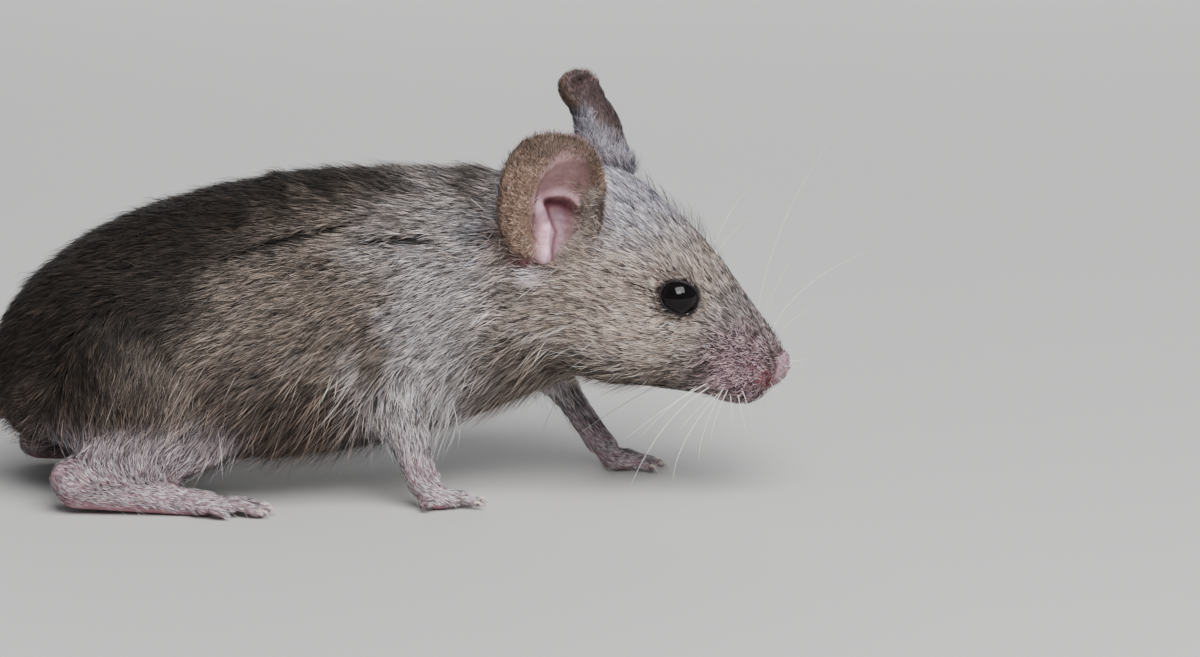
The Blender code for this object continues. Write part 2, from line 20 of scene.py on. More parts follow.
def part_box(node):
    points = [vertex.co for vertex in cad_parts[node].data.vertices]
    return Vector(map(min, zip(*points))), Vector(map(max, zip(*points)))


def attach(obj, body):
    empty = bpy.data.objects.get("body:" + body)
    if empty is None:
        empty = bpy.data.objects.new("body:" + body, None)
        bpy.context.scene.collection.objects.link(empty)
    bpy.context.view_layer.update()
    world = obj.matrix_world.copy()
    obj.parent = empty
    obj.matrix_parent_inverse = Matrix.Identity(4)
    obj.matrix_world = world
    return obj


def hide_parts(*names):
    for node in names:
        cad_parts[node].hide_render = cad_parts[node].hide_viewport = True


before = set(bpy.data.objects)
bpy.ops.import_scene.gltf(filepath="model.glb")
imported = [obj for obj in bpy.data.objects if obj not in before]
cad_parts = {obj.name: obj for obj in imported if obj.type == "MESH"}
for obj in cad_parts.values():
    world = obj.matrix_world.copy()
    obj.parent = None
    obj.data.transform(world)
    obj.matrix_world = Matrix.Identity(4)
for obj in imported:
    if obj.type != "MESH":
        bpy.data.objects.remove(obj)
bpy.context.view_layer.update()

bl_info = {
    "name": "House mouse",
    "version": (1, 0, 0),
    "blender": (4, 5, 0),
    "location": "3D View > Sidebar > Mouse",
    "description": "Builds a life-size house mouse with its coat, and a studio for it",
    "category": "Object",
}

MM = 0.001
TURN = 2 * math.pi
SIDES = {"left": 1, "right": -1}

TAIL = ("tail_root", "tail_middle", "tail_tip")
REGIONS = {
    "head": ("head",),
    "nose": ("nose",),
    "neck": ("neck",),
    "trunk": ("trunk_front", "trunk_rear"),
    "foreleg": ("foreleg_left", "foreleg_right"),
    "hindleg": ("hindleg_left", "hindleg_right"),
    "forefoot": ("forefoot_left", "forefoot_right"),
    "hindfoot": ("hindfoot_left", "hindfoot_right"),
    "ear": ("ear_left", "ear_right"),
    "tail": TAIL,
}
REGION_KEYS = list(REGIONS)
FLESH = [node for nodes in REGIONS.values() for node in nodes]


def by_region(default, **special):
    """A value for each region: the special ones, and default for the rest."""
    return {key: special.get(key, default) for key in REGION_KEYS}


# ---------------------------------------------------------------- places on the frame

def middle(node):
    """The middle of a node's box, in millimetres."""
    low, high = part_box(node)
    return (low + high) / (2 * MM)


def numbers(vector):
    return np.array(vector, float)


EYES = {word: middle("eye_" + word) for word in SIDES}
EYE_RADIUS = (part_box("eye_left")[1].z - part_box("eye_left")[0].z) / (2 * MM)
NOSE = middle("nose")
EYE_TO_NOSE_DROP = math.radians(22.6)    # below the head's own axis
RUMP_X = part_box("trunk_rear")[0].x / MM
TRUNK_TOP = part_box("trunk_front")[1].z / MM
TRUNK_LENGTH = (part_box("trunk_front")[1].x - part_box("trunk_rear")[0].x) / MM
TRUNK_SIDE = middle("trunk_front").y
TAIL_BASE = Vector((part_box("tail_root")[1].x / MM, TRUNK_SIDE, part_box("tail_root")[1].z / MM - 1.9))


def head_frame():
    """The matrix from (ahead, to the left, up) on the head, between the eyes, to the frame."""
    left = (EYES["left"] - EYES["right"]).normalized()
    origin = (EYES["left"] + EYES["right"]) / 2
    to_nose = NOSE - origin
    to_nose = (to_nose - left * to_nose.dot(left)).normalized()
    over = to_nose.cross(left)
    ahead = to_nose * math.cos(EYE_TO_NOSE_DROP) + over * math.sin(EYE_TO_NOSE_DROP)
    up = ahead.cross(left)
    turn = Matrix((ahead, left, up)).transposed().to_4x4()
    return Matrix.Translation(origin) @ turn


HEAD = head_frame()
HEAD_TURN = HEAD.to_3x3()

# The way each ear rises and opens: (ahead, aside, up) on the head
EAR_WAYS = {
    "right": ((-0.21, -0.05, 0.98), (0.39, 0.90, 0.19)),
    "left": ((-0.52, 0.15, 0.80), (-0.86, 0.44, -0.30)),
}


def ear_frame(word):
    """The matrix from (ahead, up its length, out of its bowl) on an ear to the frame."""
    side = SIDES[word]
    mirror = Vector((1, side, 1))
    rise, facing = (HEAD_TURN @ (Vector(way) * mirror) for way in EAR_WAYS[word])
    rise.normalize()
    facing = (facing - rise * facing.dot(rise)).normalized()
    ahead = rise.cross(facing) * -side
    seat = middle("ear_" + word)
    turn = Matrix((ahead, rise, facing)).transposed().to_4x4()
    return Matrix.Translation(seat) @ turn


EARS = {word: ear_frame(word) for word in SIDES}
EAR_DEEP = Vector((1.0, -2.2, -1.6))     # the bottom of the bowl, on the ear's own axes


def seen_from(matrix, points):
    """Points, as rows, in the coordinates of a matrix."""
    back = np.array(matrix.inverted())
    return points @ back[:3, :3].T + back[:3, 3]


# ---------------------------------------------------------------- settings

def size(name, description, default):
    return FloatProperty(name=name, description=description, default=default * MM, min=0.0,
                         subtype="DISTANCE", unit="LENGTH", precision=5)


def colour(name, description, default):
    return FloatVectorProperty(name=name, description=description, default=default, size=3,
                               min=0.0, max=1.0, subtype="COLOR")


def share(name, description, default):
    return FloatProperty(name=name, description=description, default=default, min=0.0)


class MouseSkinSettings(bpy.types.PropertyGroup):
    """Grain and colours of the skin."""
    grain: size("Grain", "Size of the grid that the skin is grown on", 0.28)
    swell: size("Swell", "How far pieces swell to close the gaps between them", 0.24)
    under_fur: share("Under the fur", "Tone beneath the coat, as a share of the coat's", 0.30)
    pink: colour("Pink", "Skin of the muzzle under its down", (0.18, 0.072, 0.083))
    nose: colour("Nose", "Greyish pink tip of the nose", (0.46, 0.31, 0.36))
    nostril: colour("Nostril", "Wet red round the nostrils", (0.45, 0.09, 0.115))
    ear: colour("Ear", "Inside of the ears", (0.35, 0.215, 0.215))
    ear_edge: colour("Ear edge", "Brown band along the ears' edges", (0.21, 0.13, 0.095))
    ear_column: colour("Ear fold", "Bright fold that stands in each ear", (0.74, 0.47, 0.56))
    # painted shade in the deepest hollows of the ears
    ear_depth_shade: colour("Ear depth", "Deepest part of the ears", (0.10, 0.025, 0.04))
    lid: colour("Eyelid", "Dark bare rim round the eyes", (0.010, 0.007, 0.010))
    lid_edge: colour("Eyelid edge", "Violet edge of the lids", (0.085, 0.065, 0.09))
    foot: colour("Foot", "Skin of the paws", (0.36, 0.22, 0.25))
    tail: colour("Tail", "Ringed skin of the tail", (0.26, 0.17, 0.17))


class MouseCoatSettings(bpy.types.PropertyGroup):
    """Amount, length and colours of the coat."""
    amount: share("Amount", "Number of hairs, as a share of the full coat", 1.0)
    length: share("Length", "Length of the hairs, as a share of the mouse's own", 1.0)
    clump: share("Clumping", "How far hairs gather into locks", 0.16)
    ticking: share("Ticking", "How much strands of hair differ in shade", 0.72)
    # partly painted shade: the back and rump are darker than their own brown, as if they lay in shadow
    back: colour("Back", "Dark brown of the back and rump", (0.016, 0.011, 0.008))
    flank: colour("Flank", "Grey-brown of the sides", (0.185, 0.152, 0.130))
    shoulder: colour("Shoulder", "Pale grey over the shoulder", (0.43, 0.40, 0.405))
    # painted shadow: the bluish shade that each ear casts on the neck behind it
    neck: colour("Neck", "Blue-grey patch behind each ear", (0.12, 0.125, 0.155))
    # partly painted shade: the underside's own grey, darkened as if it lay in shadow
    shaded_belly: colour("Belly", "Grey of the underside", (0.060, 0.045, 0.038))
    face: colour("Face", "Beige-grey of the cheeks", (0.365, 0.305, 0.268))
    # partly painted highlight: the top of the head paler and bluer, as where light falls on it
    crown: colour("Crown", "Pale grey of the forehead", (0.44, 0.425, 0.49))
    snout: colour("Snout", "Grey over the snout", (0.27, 0.24, 0.235))
    muzzle: colour("Muzzle", "Pinkish down of the whisker pads", (0.28, 0.195, 0.215))
    leg: colour("Leg", "Pale hair of the legs and feet", (0.49, 0.425, 0.465))
    ear: colour("Ear hair", "Brown down along the ears' edges", (0.43, 0.30, 0.23))
    ear_back: colour("Ear back", "Grey-brown of the ears' backs", (0.11, 0.075, 0.075))


class MouseDetailSettings(bpy.types.PropertyGroup):
    """Eyes, claws and whiskers."""
    eye: colour("Eye", "Black of the eyes", (0.002, 0.0015, 0.0015))
    claw: colour("Claw", "Horn of the claws", (0.62, 0.50, 0.44))
    claw_length: size("Claw length", "From its root to its point", 0.85)
    whisker: colour("Whisker", "Pale whiskers", (0.86, 0.82, 0.76))
    whisker_root: size("Whisker root", "Radius of a whisker at its root", 0.055)
    whisker_scale: share("Whisker scale", "Length of the whiskers against the mouse's own", 1.0)


class MouseStageSettings(bpy.types.PropertyGroup):
    """Floor, light and camera."""
    floor: colour("Floor", "Pale floor and backdrop", (0.55, 0.54, 0.525))
    elevation: FloatProperty(name="Camera height", description="Angle above the floor",
                             default=math.radians(12.0), subtype="ANGLE", unit="ROTATION")
    distance: size("Camera distance", "From the camera to the head", 550.0)
    view: size("View width", "Width that the camera takes in at the head", 99.6)
    key: share("Key light", "Power of the large soft light, in watts", 6.2)
    window: share("Window", "Power of the smaller light that shines in the eyes, in watts", 0.7)
    fill: share("Fill light", "Power of the light on the far side, in watts", 1.0)
    sky: share("Sky", "Strength of the light from all round", 0.30)


# ---------------------------------------------------------------- numbers over a surface

def smooth_step(low, high, x):
    """0 below low, 1 above high and a smooth rise between. low may be the larger one."""
    t = np.clip((x - low) / (high - low), 0.0, 1.0)
    return t * t * (3 - 2 * t)


def mixed(one, other, amount):
    """one where amount is 0 and other where it is 1, row by row."""
    amount = np.asarray(amount, float)[..., None] if np.ndim(one) or np.ndim(other) else amount
    return one * (1 - amount) + other * amount


def distance(points, place):
    return np.linalg.norm(points - numbers(place), axis=1)


def unit(rows):
    return rows / np.maximum(np.linalg.norm(rows, axis=-1, keepdims=True), 1e-9)


def ripple(points, size_mm, seed, waves=10):
    """Smooth random numbers, mostly from -1 to 1, that change over about size_mm."""
    rng = np.random.default_rng(seed)
    ways = unit(rng.normal(size=(waves, 3))) * rng.uniform(0.7, 1.5, (waves, 1)) * TURN / size_mm
    phases = rng.uniform(0, TURN, waves)
    return np.sin(points @ ways.T + phases).mean(1) * 2.0


def off_line(points, line):
    """How far points lie from a line through the points of line, and how far along it, 0 to 1."""
    line = numbers(line)
    best = np.full(len(points), np.inf)
    along = np.zeros(len(points))
    count = len(line) - 1
    for k in range(count):
        start, step = line[k], line[k + 1] - line[k]
        t = np.clip((points - start) @ step / (step @ step), 0, 1)
        gap = np.linalg.norm(points - start - t[:, None] * step, axis=1)
        near = gap < best
        best = np.where(near, gap, best)
        along = np.where(near, (k + t) / count, along)
    return best, along


class Surface:
    """A triangle mesh as arrays in millimetres, with the averages over neighbours that it needs."""

    def __init__(self, mesh):
        mesh.calc_loop_triangles()
        count = len(mesh.vertices)
        self.points = np.zeros(3 * count, np.float32)
        mesh.vertices.foreach_get("co", self.points)
        self.points = self.points.reshape(-1, 3).astype(float) / MM
        self.triangles = np.zeros(3 * len(mesh.loop_triangles), np.int32)
        mesh.loop_triangles.foreach_get("vertices", self.triangles)
        self.triangles = self.triangles.reshape(-1, 3)
        edges = np.zeros(2 * len(mesh.edges), np.int32)
        mesh.edges.foreach_get("vertices", edges)
        self.edges = edges.reshape(-1, 2)
        self.degree = np.maximum(np.bincount(edges, minlength=count), 1)

    def average(self, values):
        """Each vertex's mean over its neighbours."""
        one, other = self.edges.T
        columns = values.reshape(len(values), -1)
        found = np.empty_like(columns, dtype=float)
        for k in range(columns.shape[1]):
            total = np.bincount(one, columns[other, k], len(values))
            total += np.bincount(other, columns[one, k], len(values))
            found[:, k] = total / self.degree
        return found.reshape(values.shape)

    def spread(self, values, rounds):
        for _ in range(rounds):
            values = 0.4 * values + 0.6 * self.average(values)
        return values

    def soften(self, rounds, pull=0.5, push=-0.53):
        """Takes the steps of the grid out of the points and keeps the bulk."""
        for _ in range(rounds):
            for amount in (pull, push):
                self.points += amount * (self.average(self.points) - self.points)

    def normals(self):
        a, b, c = (self.points[self.triangles[:, k]] for k in range(3))
        facing = np.cross(b - a, c - a)
        found = np.zeros_like(self.points)
        for corner in range(3):
            for k in range(3):
                found[:, k] += np.bincount(self.triangles[:, corner], facing[:, k], len(found))
        return unit(found)

    def areas(self):
        a, b, c = (self.points[self.triangles[:, k]] for k in range(3))
        return np.linalg.norm(np.cross(b - a, c - a), axis=1) / 2

    def bend_along(self, normals, ways):
        """How fast the surface curves away along ways, per millimetre: above 0 where round."""
        one, other = self.edges.T
        step = self.points[other] - self.points[one]
        far = np.maximum((step ** 2).sum(1), 1e-9)
        curve = ((normals[other] - normals[one]) * step).sum(1) / far
        total = np.zeros(len(self.points))
        weight = np.full(len(self.points), 1e-9)
        for end in (one, other):
            share_along = (step * ways[end]).sum(1) ** 2 / far
            total += np.bincount(end, curve * share_along, len(total))
            weight += np.bincount(end, share_along, len(total))
        return total / weight


# ---------------------------------------------------------------- objects

def deselect():
    for obj in bpy.context.selected_objects:
        obj.select_set(False)


def only(obj):
    """Makes obj the one selected, active object."""
    deselect()
    obj.select_set(True)
    bpy.context.view_layer.objects.active = obj
    return obj


def new_object(name, mesh):
    obj = bpy.data.objects.new(name, mesh)
    bpy.context.scene.collection.objects.link(obj)
    return obj


def finished(obj, material, slot, *nodes):
    """obj as a piece of the mouse, with its material, in place of its nodes."""
    obj.data.materials.clear()
    obj.data.materials.append(material)
    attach(obj, "root")
    if nodes:
        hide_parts(*nodes)
    return obj


def apply_all(obj):
    """Applies every modifier of obj."""
    only(obj)
    for modifier in list(obj.modifiers):
        bpy.ops.object.modifier_apply(modifier=modifier.name)
    return obj


def add_tube(bm, points, radii, sides):
    """A closed round bar in bm, in millimetres: rings carried along points without twist."""
    points = [Vector(point) for point in points]
    loops = []
    side = None
    for k, (point, radius) in enumerate(zip(points, radii)):
        way = (points[min(k + 1, len(points) - 1)] - points[max(0, k - 1)]).normalized()
        side = way.orthogonal() if side is None else side - way * side.dot(way)
        side.normalize()
        up = way.cross(side)
        angles = (TURN * s / sides for s in range(sides))
        loops.append([bm.verts.new(point + radius * (math.cos(a) * side + math.sin(a) * up))
                      for a in angles])
    for one, other in zip(loops, loops[1:]):
        for k in range(sides):
            nxt = (k + 1) % sides
            bm.faces.new((one[k], one[nxt], other[nxt], other[k]))
    bm.faces.new(list(reversed(loops[0])))
    bm.faces.new(loops[-1])


def from_bmesh(name, bm):
    """A new object from bm, which is in millimetres."""
    bmesh.ops.recalc_face_normals(bm, faces=bm.faces)
    bmesh.ops.scale(bm, vec=(MM, MM, MM), verts=bm.verts)
    mesh = bpy.data.meshes.new(name)
    bm.to_mesh(mesh)
    bm.free()
    mesh.shade_smooth()
    return new_object(name, mesh)


# ---------------------------------------------------------------- materials

class Recipe:
    """Builds a material's nodes round one Principled BSDF."""

    def __init__(self, name):
        self.material = bpy.data.materials.new(name)
        self.material.use_nodes = True
        self.tree = self.material.node_tree
        self.surface = self.tree.nodes["Principled BSDF"]
        self.place = self.add("ShaderNodeTexCoord").outputs["Object"]

    def add(self, kind, **values):
        node = self.tree.nodes.new(kind)
        for key, value in values.items():
            setattr(node, key, value)
        return node

    def link(self, output, socket):
        self.tree.links.new(output, socket)

    def attribute(self, name, kind="Color"):
        return self.add("ShaderNodeAttribute", attribute_name=name).outputs[kind]

    def noise(self, per_metre, detail=3.0, roughness=0.55, stretch=None):
        node = self.add("ShaderNodeTexNoise")
        node.inputs["Scale"].default_value = per_metre
        node.inputs["Detail"].default_value = detail
        node.inputs["Roughness"].default_value = roughness
        place = self.place
        if stretch:
            mapping = self.add("ShaderNodeMapping")
            mapping.inputs["Scale"].default_value = stretch
            self.link(place, mapping.inputs["Vector"])
            place = mapping.outputs["Vector"]
        self.link(place, node.inputs["Vector"])
        return node.outputs["Fac"]

    def ramp(self, value, *stops):
        """Colours or greys at places from 0 to 1."""
        node = self.add("ShaderNodeValToRGB")
        band = node.color_ramp
        while len(band.elements) < len(stops):
            band.elements.new(0.5)
        for element, (place, tone) in zip(band.elements, stops):
            element.position = place
            element.color = (*tone, 1.0) if isinstance(tone, tuple) else (tone, tone, tone, 1.0)
        self.link(value, node.inputs["Fac"])
        return node.outputs["Color"]

    def uneven(self, tone, per_metre, detail, low, high, high_place=0.7):
        """A tone that wavers between two shares of itself."""
        return self.ramp(self.noise(per_metre, detail), (0.3, tuple(low * part for part in tone)),
                         (high_place, tuple(high * part for part in tone)))

    def times(self, one, other):
        """Two colours multiplied."""
        node = self.add("ShaderNodeMix", data_type="RGBA", blend_type="MULTIPLY")
        node.inputs[0].default_value = 1.0
        self.link(one, node.inputs[6])
        self.link(other, node.inputs[7])
        return node.outputs[2]

    def rise(self, height, strength, distance):
        """A bump, in metres, on the surface."""
        node = self.add("ShaderNodeBump")
        node.inputs["Strength"].default_value = strength
        node.inputs["Distance"].default_value = distance
        self.link(height, node.inputs["Height"])
        before = self.surface.inputs["Normal"]
        if before.links:
            self.link(before.links[0].from_socket, node.inputs["Normal"])
        self.link(node.outputs["Normal"], before)

    def finish(self, colour_socket=None, **values):
        if colour_socket is not None:
            self.link(colour_socket, self.surface.inputs["Base Color"])
        for key, value in values.items():
            self.surface.inputs[key.replace("_", " ")].default_value = value
        return self.material


def skin_material():
    """Thin living skin, whose tone comes with the mesh, with pores, wrinkles and faint mottling."""
    recipe = Recipe("mouse_skin")
    mottle = recipe.ramp(recipe.noise(900.0, 4.0), (0.3, 0.82), (0.7, 1.12))
    veins = recipe.ramp(recipe.noise(2600.0, 2.0), (0.35, (0.93, 0.86, 0.88)),
                        (0.6, (1.0, 1.0, 1.0)))
    tone = recipe.times(recipe.times(recipe.attribute("tone"), mottle), veins)
    recipe.rise(recipe.noise(5200.0, 3.0), 0.35, 0.00006)
    recipe.rise(recipe.noise(1500.0, 3.0, 0.6, (1.0, 1.0, 2.2)), 0.30, 0.00016)
    return recipe.finish(tone, Roughness=0.55, Subsurface_Weight=0.18, Subsurface_Scale=0.0006,
                         Specular_IOR_Level=0.30)


def coat_material(name, roughness):
    """Hairs with a dark root, a pale band and a darker tip, each in its own tone."""
    recipe = Recipe(name)
    along = recipe.attribute("along", "Fac")
    # the dark root is partly the hair's own slate base and partly painted shade deep in the coat
    band = recipe.ramp(along, (0.0, (0.20, 0.19, 0.20)), (0.35, (0.50, 0.48, 0.49)),
                       (0.62, (1.06, 1.03, 1.0)), (0.86, (1.20, 1.18, 1.16)),
                       (1.0, (0.92, 0.88, 0.84)))
    speck = recipe.ramp(recipe.noise(3200.0, 2.0), (0.25, 0.86), (0.75, 1.12))
    tone = recipe.times(recipe.times(recipe.attribute("tone"), band), speck)
    return recipe.finish(tone, Roughness=roughness, Specular_IOR_Level=0.22, Sheen_Weight=0.04,
                         Sheen_Roughness=0.5)


def eye_material(tone):
    """A wet black eye with the faintest brown in its depth."""
    recipe = Recipe("mouse_eye")
    depth = recipe.uneven(tone, 1400.0, 2.0, 1.0, 2.2, 0.8)
    return recipe.finish(depth, Roughness=0.045, Specular_IOR_Level=0.38, IOR=1.38)


def horn_material(name, tone, roughness):
    """Pale horn, a little uneven along its length."""
    recipe = Recipe(name)
    grain = recipe.uneven(tone, 2400.0, 3.0, 0.82, 1.0)
    return recipe.finish(grain, Roughness=roughness, Subsurface_Weight=0.1, Subsurface_Scale=0.0004)


# ---------------------------------------------------------------- the skin

def welded_copy(node):
    """A bmesh of a node, in millimetres."""
    bm = bmesh.new()
    bm.from_mesh(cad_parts[node].data)
    bmesh.ops.remove_doubles(bm, verts=bm.verts, dist=0.002 * MM)
    bmesh.ops.scale(bm, vec=(1 / MM,) * 3, verts=bm.verts)
    bm.normal_update()
    return bm


SWELL_REACH = 1.1            # how near another node has to be for a node to swell towards it


def swell_at_joints(bodies, swell):
    """Moves the surface of each body out by swell where it comes near another."""
    trees = {node: BVHTree.FromBMesh(bm) for node, bm in bodies.items()}
    for node, bm in bodies.items():
        others = [tree for other, tree in trees.items() if other != node]
        moves = []
        for vert in bm.verts:
            found = (tree.find_nearest(vert.co, SWELL_REACH)[3] for tree in others)
            gap = min((gap for gap in found if gap is not None), default=SWELL_REACH)
            amount = swell * float(smooth_step(SWELL_REACH, 0.4 * SWELL_REACH, gap))
            moves.append((vert, vert.co + vert.normal * amount))
        for vert, place in moves:
            vert.co = place


def grown_together(settings):
    """One closed skin round all the flesh, at the level of the coat's tips."""
    bodies = {node: welded_copy(node) for node in (*FLESH, "eye_left", "eye_right")}
    swell_at_joints(bodies, settings.swell / MM)
    mesh = bpy.data.meshes.new("skin")
    whole = bmesh.new()
    for bm in bodies.values():
        bmesh.ops.scale(bm, vec=(MM, MM, MM), verts=bm.verts)
        part = bpy.data.meshes.new("part")
        bm.to_mesh(part)
        bm.free()
        whole.from_mesh(part)
        bpy.data.meshes.remove(part)
    whole.to_mesh(mesh)
    whole.free()
    skin = new_object("skin", mesh)
    grow = skin.modifiers.new("grow", "REMESH")
    grow.mode = "VOXEL"
    grow.voxel_size = settings.grain
    return apply_all(skin)


TRUNK_SHARE = 0.32           # of its faces that the furred body keeps


def thinned_under_fur(skin):
    """Fewer faces where thick fur hides the skin."""
    surface = Surface(skin.data)
    surface.soften(6)
    write_points(skin.data, surface.points)
    labels = region_labels(surface.points)
    furred = np.isin(labels, [REGION_KEYS.index(key) for key in ("trunk", "neck", "hindleg")])
    weight = surface.spread(furred.astype(float), 6)
    group = skin.vertex_groups.new(name="furred")
    for level in range(1, 11):
        chosen = np.nonzero(np.ceil(weight * 10 - 0.5) == level)[0]
        group.add(chosen.tolist(), level / 10, "REPLACE")
    thin = skin.modifiers.new("thin", "DECIMATE")
    thin.vertex_group = group.name
    thin.ratio = 1 - furred.mean() * (1 - TRUNK_SHARE)
    apply_all(skin)
    skin.vertex_groups.clear()
    return skin


def region_labels(points):
    """The index of the region whose node lies nearest to each point."""
    vertices, faces, owners = [], [], []
    for index, key in enumerate(REGION_KEYS):
        for node in REGIONS[key]:
            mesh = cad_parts[node].data
            start = len(vertices)
            vertices += [vertex.co / MM for vertex in mesh.vertices]
            faces += [[start + k for k in face.vertices] for face in mesh.polygons]
            owners += [index] * len(mesh.polygons)
    tree = BVHTree.FromPolygons(vertices, faces)
    return np.array([owners[tree.find_nearest(point)[2]] for point in points])


def write_points(mesh, points):
    mesh.vertices.foreach_set("co", (points * MM).astype(np.float32).ravel())
    mesh.update()


# Where the skin is made finer: a place, and how far round it each edge is halved
FINE_PLACES = (
    *((EYES[word], reach) for reach in (3.3, 2.9) for word in SIDES),
    (NOSE, 3.4), (NOSE, 2.6), (EARS["right"] @ EAR_DEEP, 4.2),
)


def refined(skin):
    """More faces round the eyes, the nose and the near ear's folds."""
    bm = bmesh.new()
    bm.from_mesh(skin.data)
    bmesh.ops.triangulate(bm, faces=bm.faces)
    for place, reach in FINE_PLACES:
        centre, limit = place * MM, reach * MM
        edges = [edge for edge in bm.edges
                 if all((vert.co - centre).length < limit for vert in edge.verts)]
        bmesh.ops.subdivide_edges(bm, edges=edges, cuts=1, use_grid_fill=True)
        bmesh.ops.triangulate(bm, faces=[face for face in bm.faces if len(face.verts) > 3])
    bm.to_mesh(skin.data)
    bm.free()
    return skin


# Depth of the coat over the skin, length and width of its hairs in millimetres, and hairs to each
# square millimetre: at the low end of each region and where its coat is full. fullness() says
# where that is.
COAT = {
    "head": ((0.10, 0.75, 0.045, 95.0), (0.40, 1.7, 0.056, 135.0)),
    "nose": ((0.03, 0.35, 0.036, 70.0), (0.03, 0.35, 0.036, 70.0)),
    "neck": ((0.60, 2.0, 0.060, 115.0), (0.80, 2.3, 0.062, 115.0)),
    "trunk": ((0.60, 1.75, 0.054, 82.0), (0.95, 2.1, 0.058, 94.0)),
    "foreleg": ((0.12, 1.0, 0.044, 56.0), (0.60, 2.0, 0.060, 84.0)),
    "hindleg": ((0.12, 1.0, 0.048, 43.0), (0.85, 2.3, 0.066, 62.0)),
    "forefoot": ((0.04, 0.8, 0.040, 112.0), (0.06, 0.9, 0.042, 112.0)),
    "hindfoot": ((0.03, 0.7, 0.036, 80.0), (0.05, 0.9, 0.040, 80.0)),
    "ear": ((0.08, 0.4, 0.036, 60.0), (0.10, 0.5, 0.038, 60.0)),
    "tail": ((0.02, 0.4, 0.030, 9.0), (0.05, 0.7, 0.034, 9.0)),
}


def fullness(points):
    """For each region, how full its coat is at points, from 0 to 1."""
    height = points[:, 2]
    return by_region(
        1.0, nose=0.0, head=smooth_step(2.5, 13.0, distance(points, NOSE)),
        trunk=smooth_step(0.0, 0.35 * TRUNK_TOP, height),
        foreleg=smooth_step(2.8, 10.0, height), hindleg=smooth_step(3.0, 9.0, height))


def coat_numbers(points, weights):
    """Depth, length, width and hairs to each square millimetre of the coat at points."""
    full = fullness(points)
    return [blended_regions(weights, {
        key: low[k] + (high[k] - low[k]) * full[key] for key, (low, high) in COAT.items()})
        for k in range(4)]


def lie_of_coat(points):
    """For each region, the way that its hairs point, before it is laid along the skin."""
    ahead = numbers(HEAD_TURN.col[0])
    from_nose = unit(points - numbers(NOSE))
    back_cheek = smooth_step(-3.0, -12.0, seen_from(HEAD, points)[:, 0])
    head = from_nose * 1.0 - ahead * 0.5 - numbers((0, 0, 1)) * (0.14 + 0.25 * back_cheek)[:, None]
    for eye in EYES.values():
        away = points - numbers(eye)
        near = np.exp(-(np.linalg.norm(away, axis=1) / 2.9) ** 2)
        head = head + unit(away) * (0.75 * near)[:, None]
    over = np.clip(np.abs(points[:, 1] - TRUNK_SIDE) / 9.0, 0, 1)
    under = smooth_step(0.62, 0.20, points[:, 2] / TRUNK_TOP)
    trunk = np.stack([-np.ones(len(points)), 0 * over, -0.08 - 0.30 * over - 0.45 * under], 1)
    to_tail = unit(numbers(TAIL_BASE) - points)
    rear = smooth_step(RUMP_X + 16.0, RUMP_X + 3.0, points[:, 0])
    trunk = mixed(unit(trunk), to_tail, rear * 0.8)

    def towards(kind, drop, back):
        right, left = (numbers(middle(f"{kind}_{word}")) for word in ("right", "left"))
        goal = np.where((points[:, 1] > TRUNK_SIDE)[:, None], left, right)
        return unit(unit(goal - points) + numbers((back, 0, drop)))

    ears = np.zeros_like(points)
    nearest = np.full(len(points), np.inf)
    for word in SIDES:
        deep = numbers(EARS[word] @ EAR_DEEP)
        gap = np.linalg.norm(points - deep, axis=1)
        ears = np.where((gap < nearest)[:, None], unit(points - deep), ears)
        nearest = np.minimum(gap, nearest)
    end = numbers(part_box("tail_tip")[0]) / MM
    end[1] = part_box("tail_tip")[1].y / MM
    forward = np.broadcast_to(numbers((1.0, 0.0, -0.25)), points.shape)
    return {
        "head": head, "nose": from_nose,
        "neck": np.stack([-np.ones(len(points)), 0 * over, -0.12 - 0.36 * over - 0.3 * under], 1),
        "trunk": trunk,
        "foreleg": towards("forefoot", -0.3, -0.25), "hindleg": towards("hindfoot", -0.2, -0.45),
        "forefoot": forward, "hindfoot": forward, "ear": ears, "tail": unit(end - points),
    }


def flat_tone(points, tone):
    return np.broadcast_to(numbers(tone), points.shape)


def tones_of_skin(points, settings):
    """For each region, the tone of its bare skin, before the face and ears are painted."""
    tones = by_region(settings.foot, head=settings.pink, nose=settings.nose, ear=settings.ear,
                      tail=settings.tail)
    return {key: flat_tone(points, tone) for key, tone in tones.items()}


def furred_shares(points):
    """For each region, how far fur hides its skin."""
    leg = smooth_step(3.6, 9.0, points[:, 2])
    head = np.maximum(smooth_step(3.2, 7.0, distance(points, NOSE)),
                      0.75 * smooth_step(-3.9, -2.4, on_both_sides(points)[:, 2]))
    return by_region(0.0, head=head, neck=1.0, trunk=1.0, foreleg=leg, hindleg=leg)


# Places on both sides of the head, (ahead, aside, up) from midway between the eyes
WHISKER_PAD = (7.0, 3.3, -4.3)
DARK_SPOT = (4.3, 4.3, -5.0)             # behind the whisker pad
EYE_CORNER = (0.4, 5.8, -2.9)            # pale fur under the eye
# BEHIND_EAR: where the ear's shadow is painted on the neck
BEHIND_EAR = (-16.7, 7.9, 0.3)
BELOW_EAR = (-11.3, 8.4, -0.8)           # a tuft of white
UNDER_EAR = (-11.8, 8.3, -3.5)           # darker fur below that


def on_both_sides(points):
    """Points on the head's own axes, with the left side laid over the right."""
    local = seen_from(HEAD, points)
    local[:, 1] = np.abs(local[:, 1])
    return local


def spot_on_head(local, place, reach):
    """1 at a place on the head and 0 well beyond reach."""
    return np.exp(-(distance(local, place) / reach) ** 2)


# Where the dark of the back ends, along the trunk: the height that it reaches down to, as a share
# of the trunk's, and how softly
BACK_EDGE = ((0.20, 0.45, 0.52, 0.60, 0.75, 0.90), (0.45, 0.60, 0.70, 0.84, 0.90, 0.97))
BACK_SOFTNESS = ((0.15, 0.50, 0.68), (0.30, 0.17, 0.08))


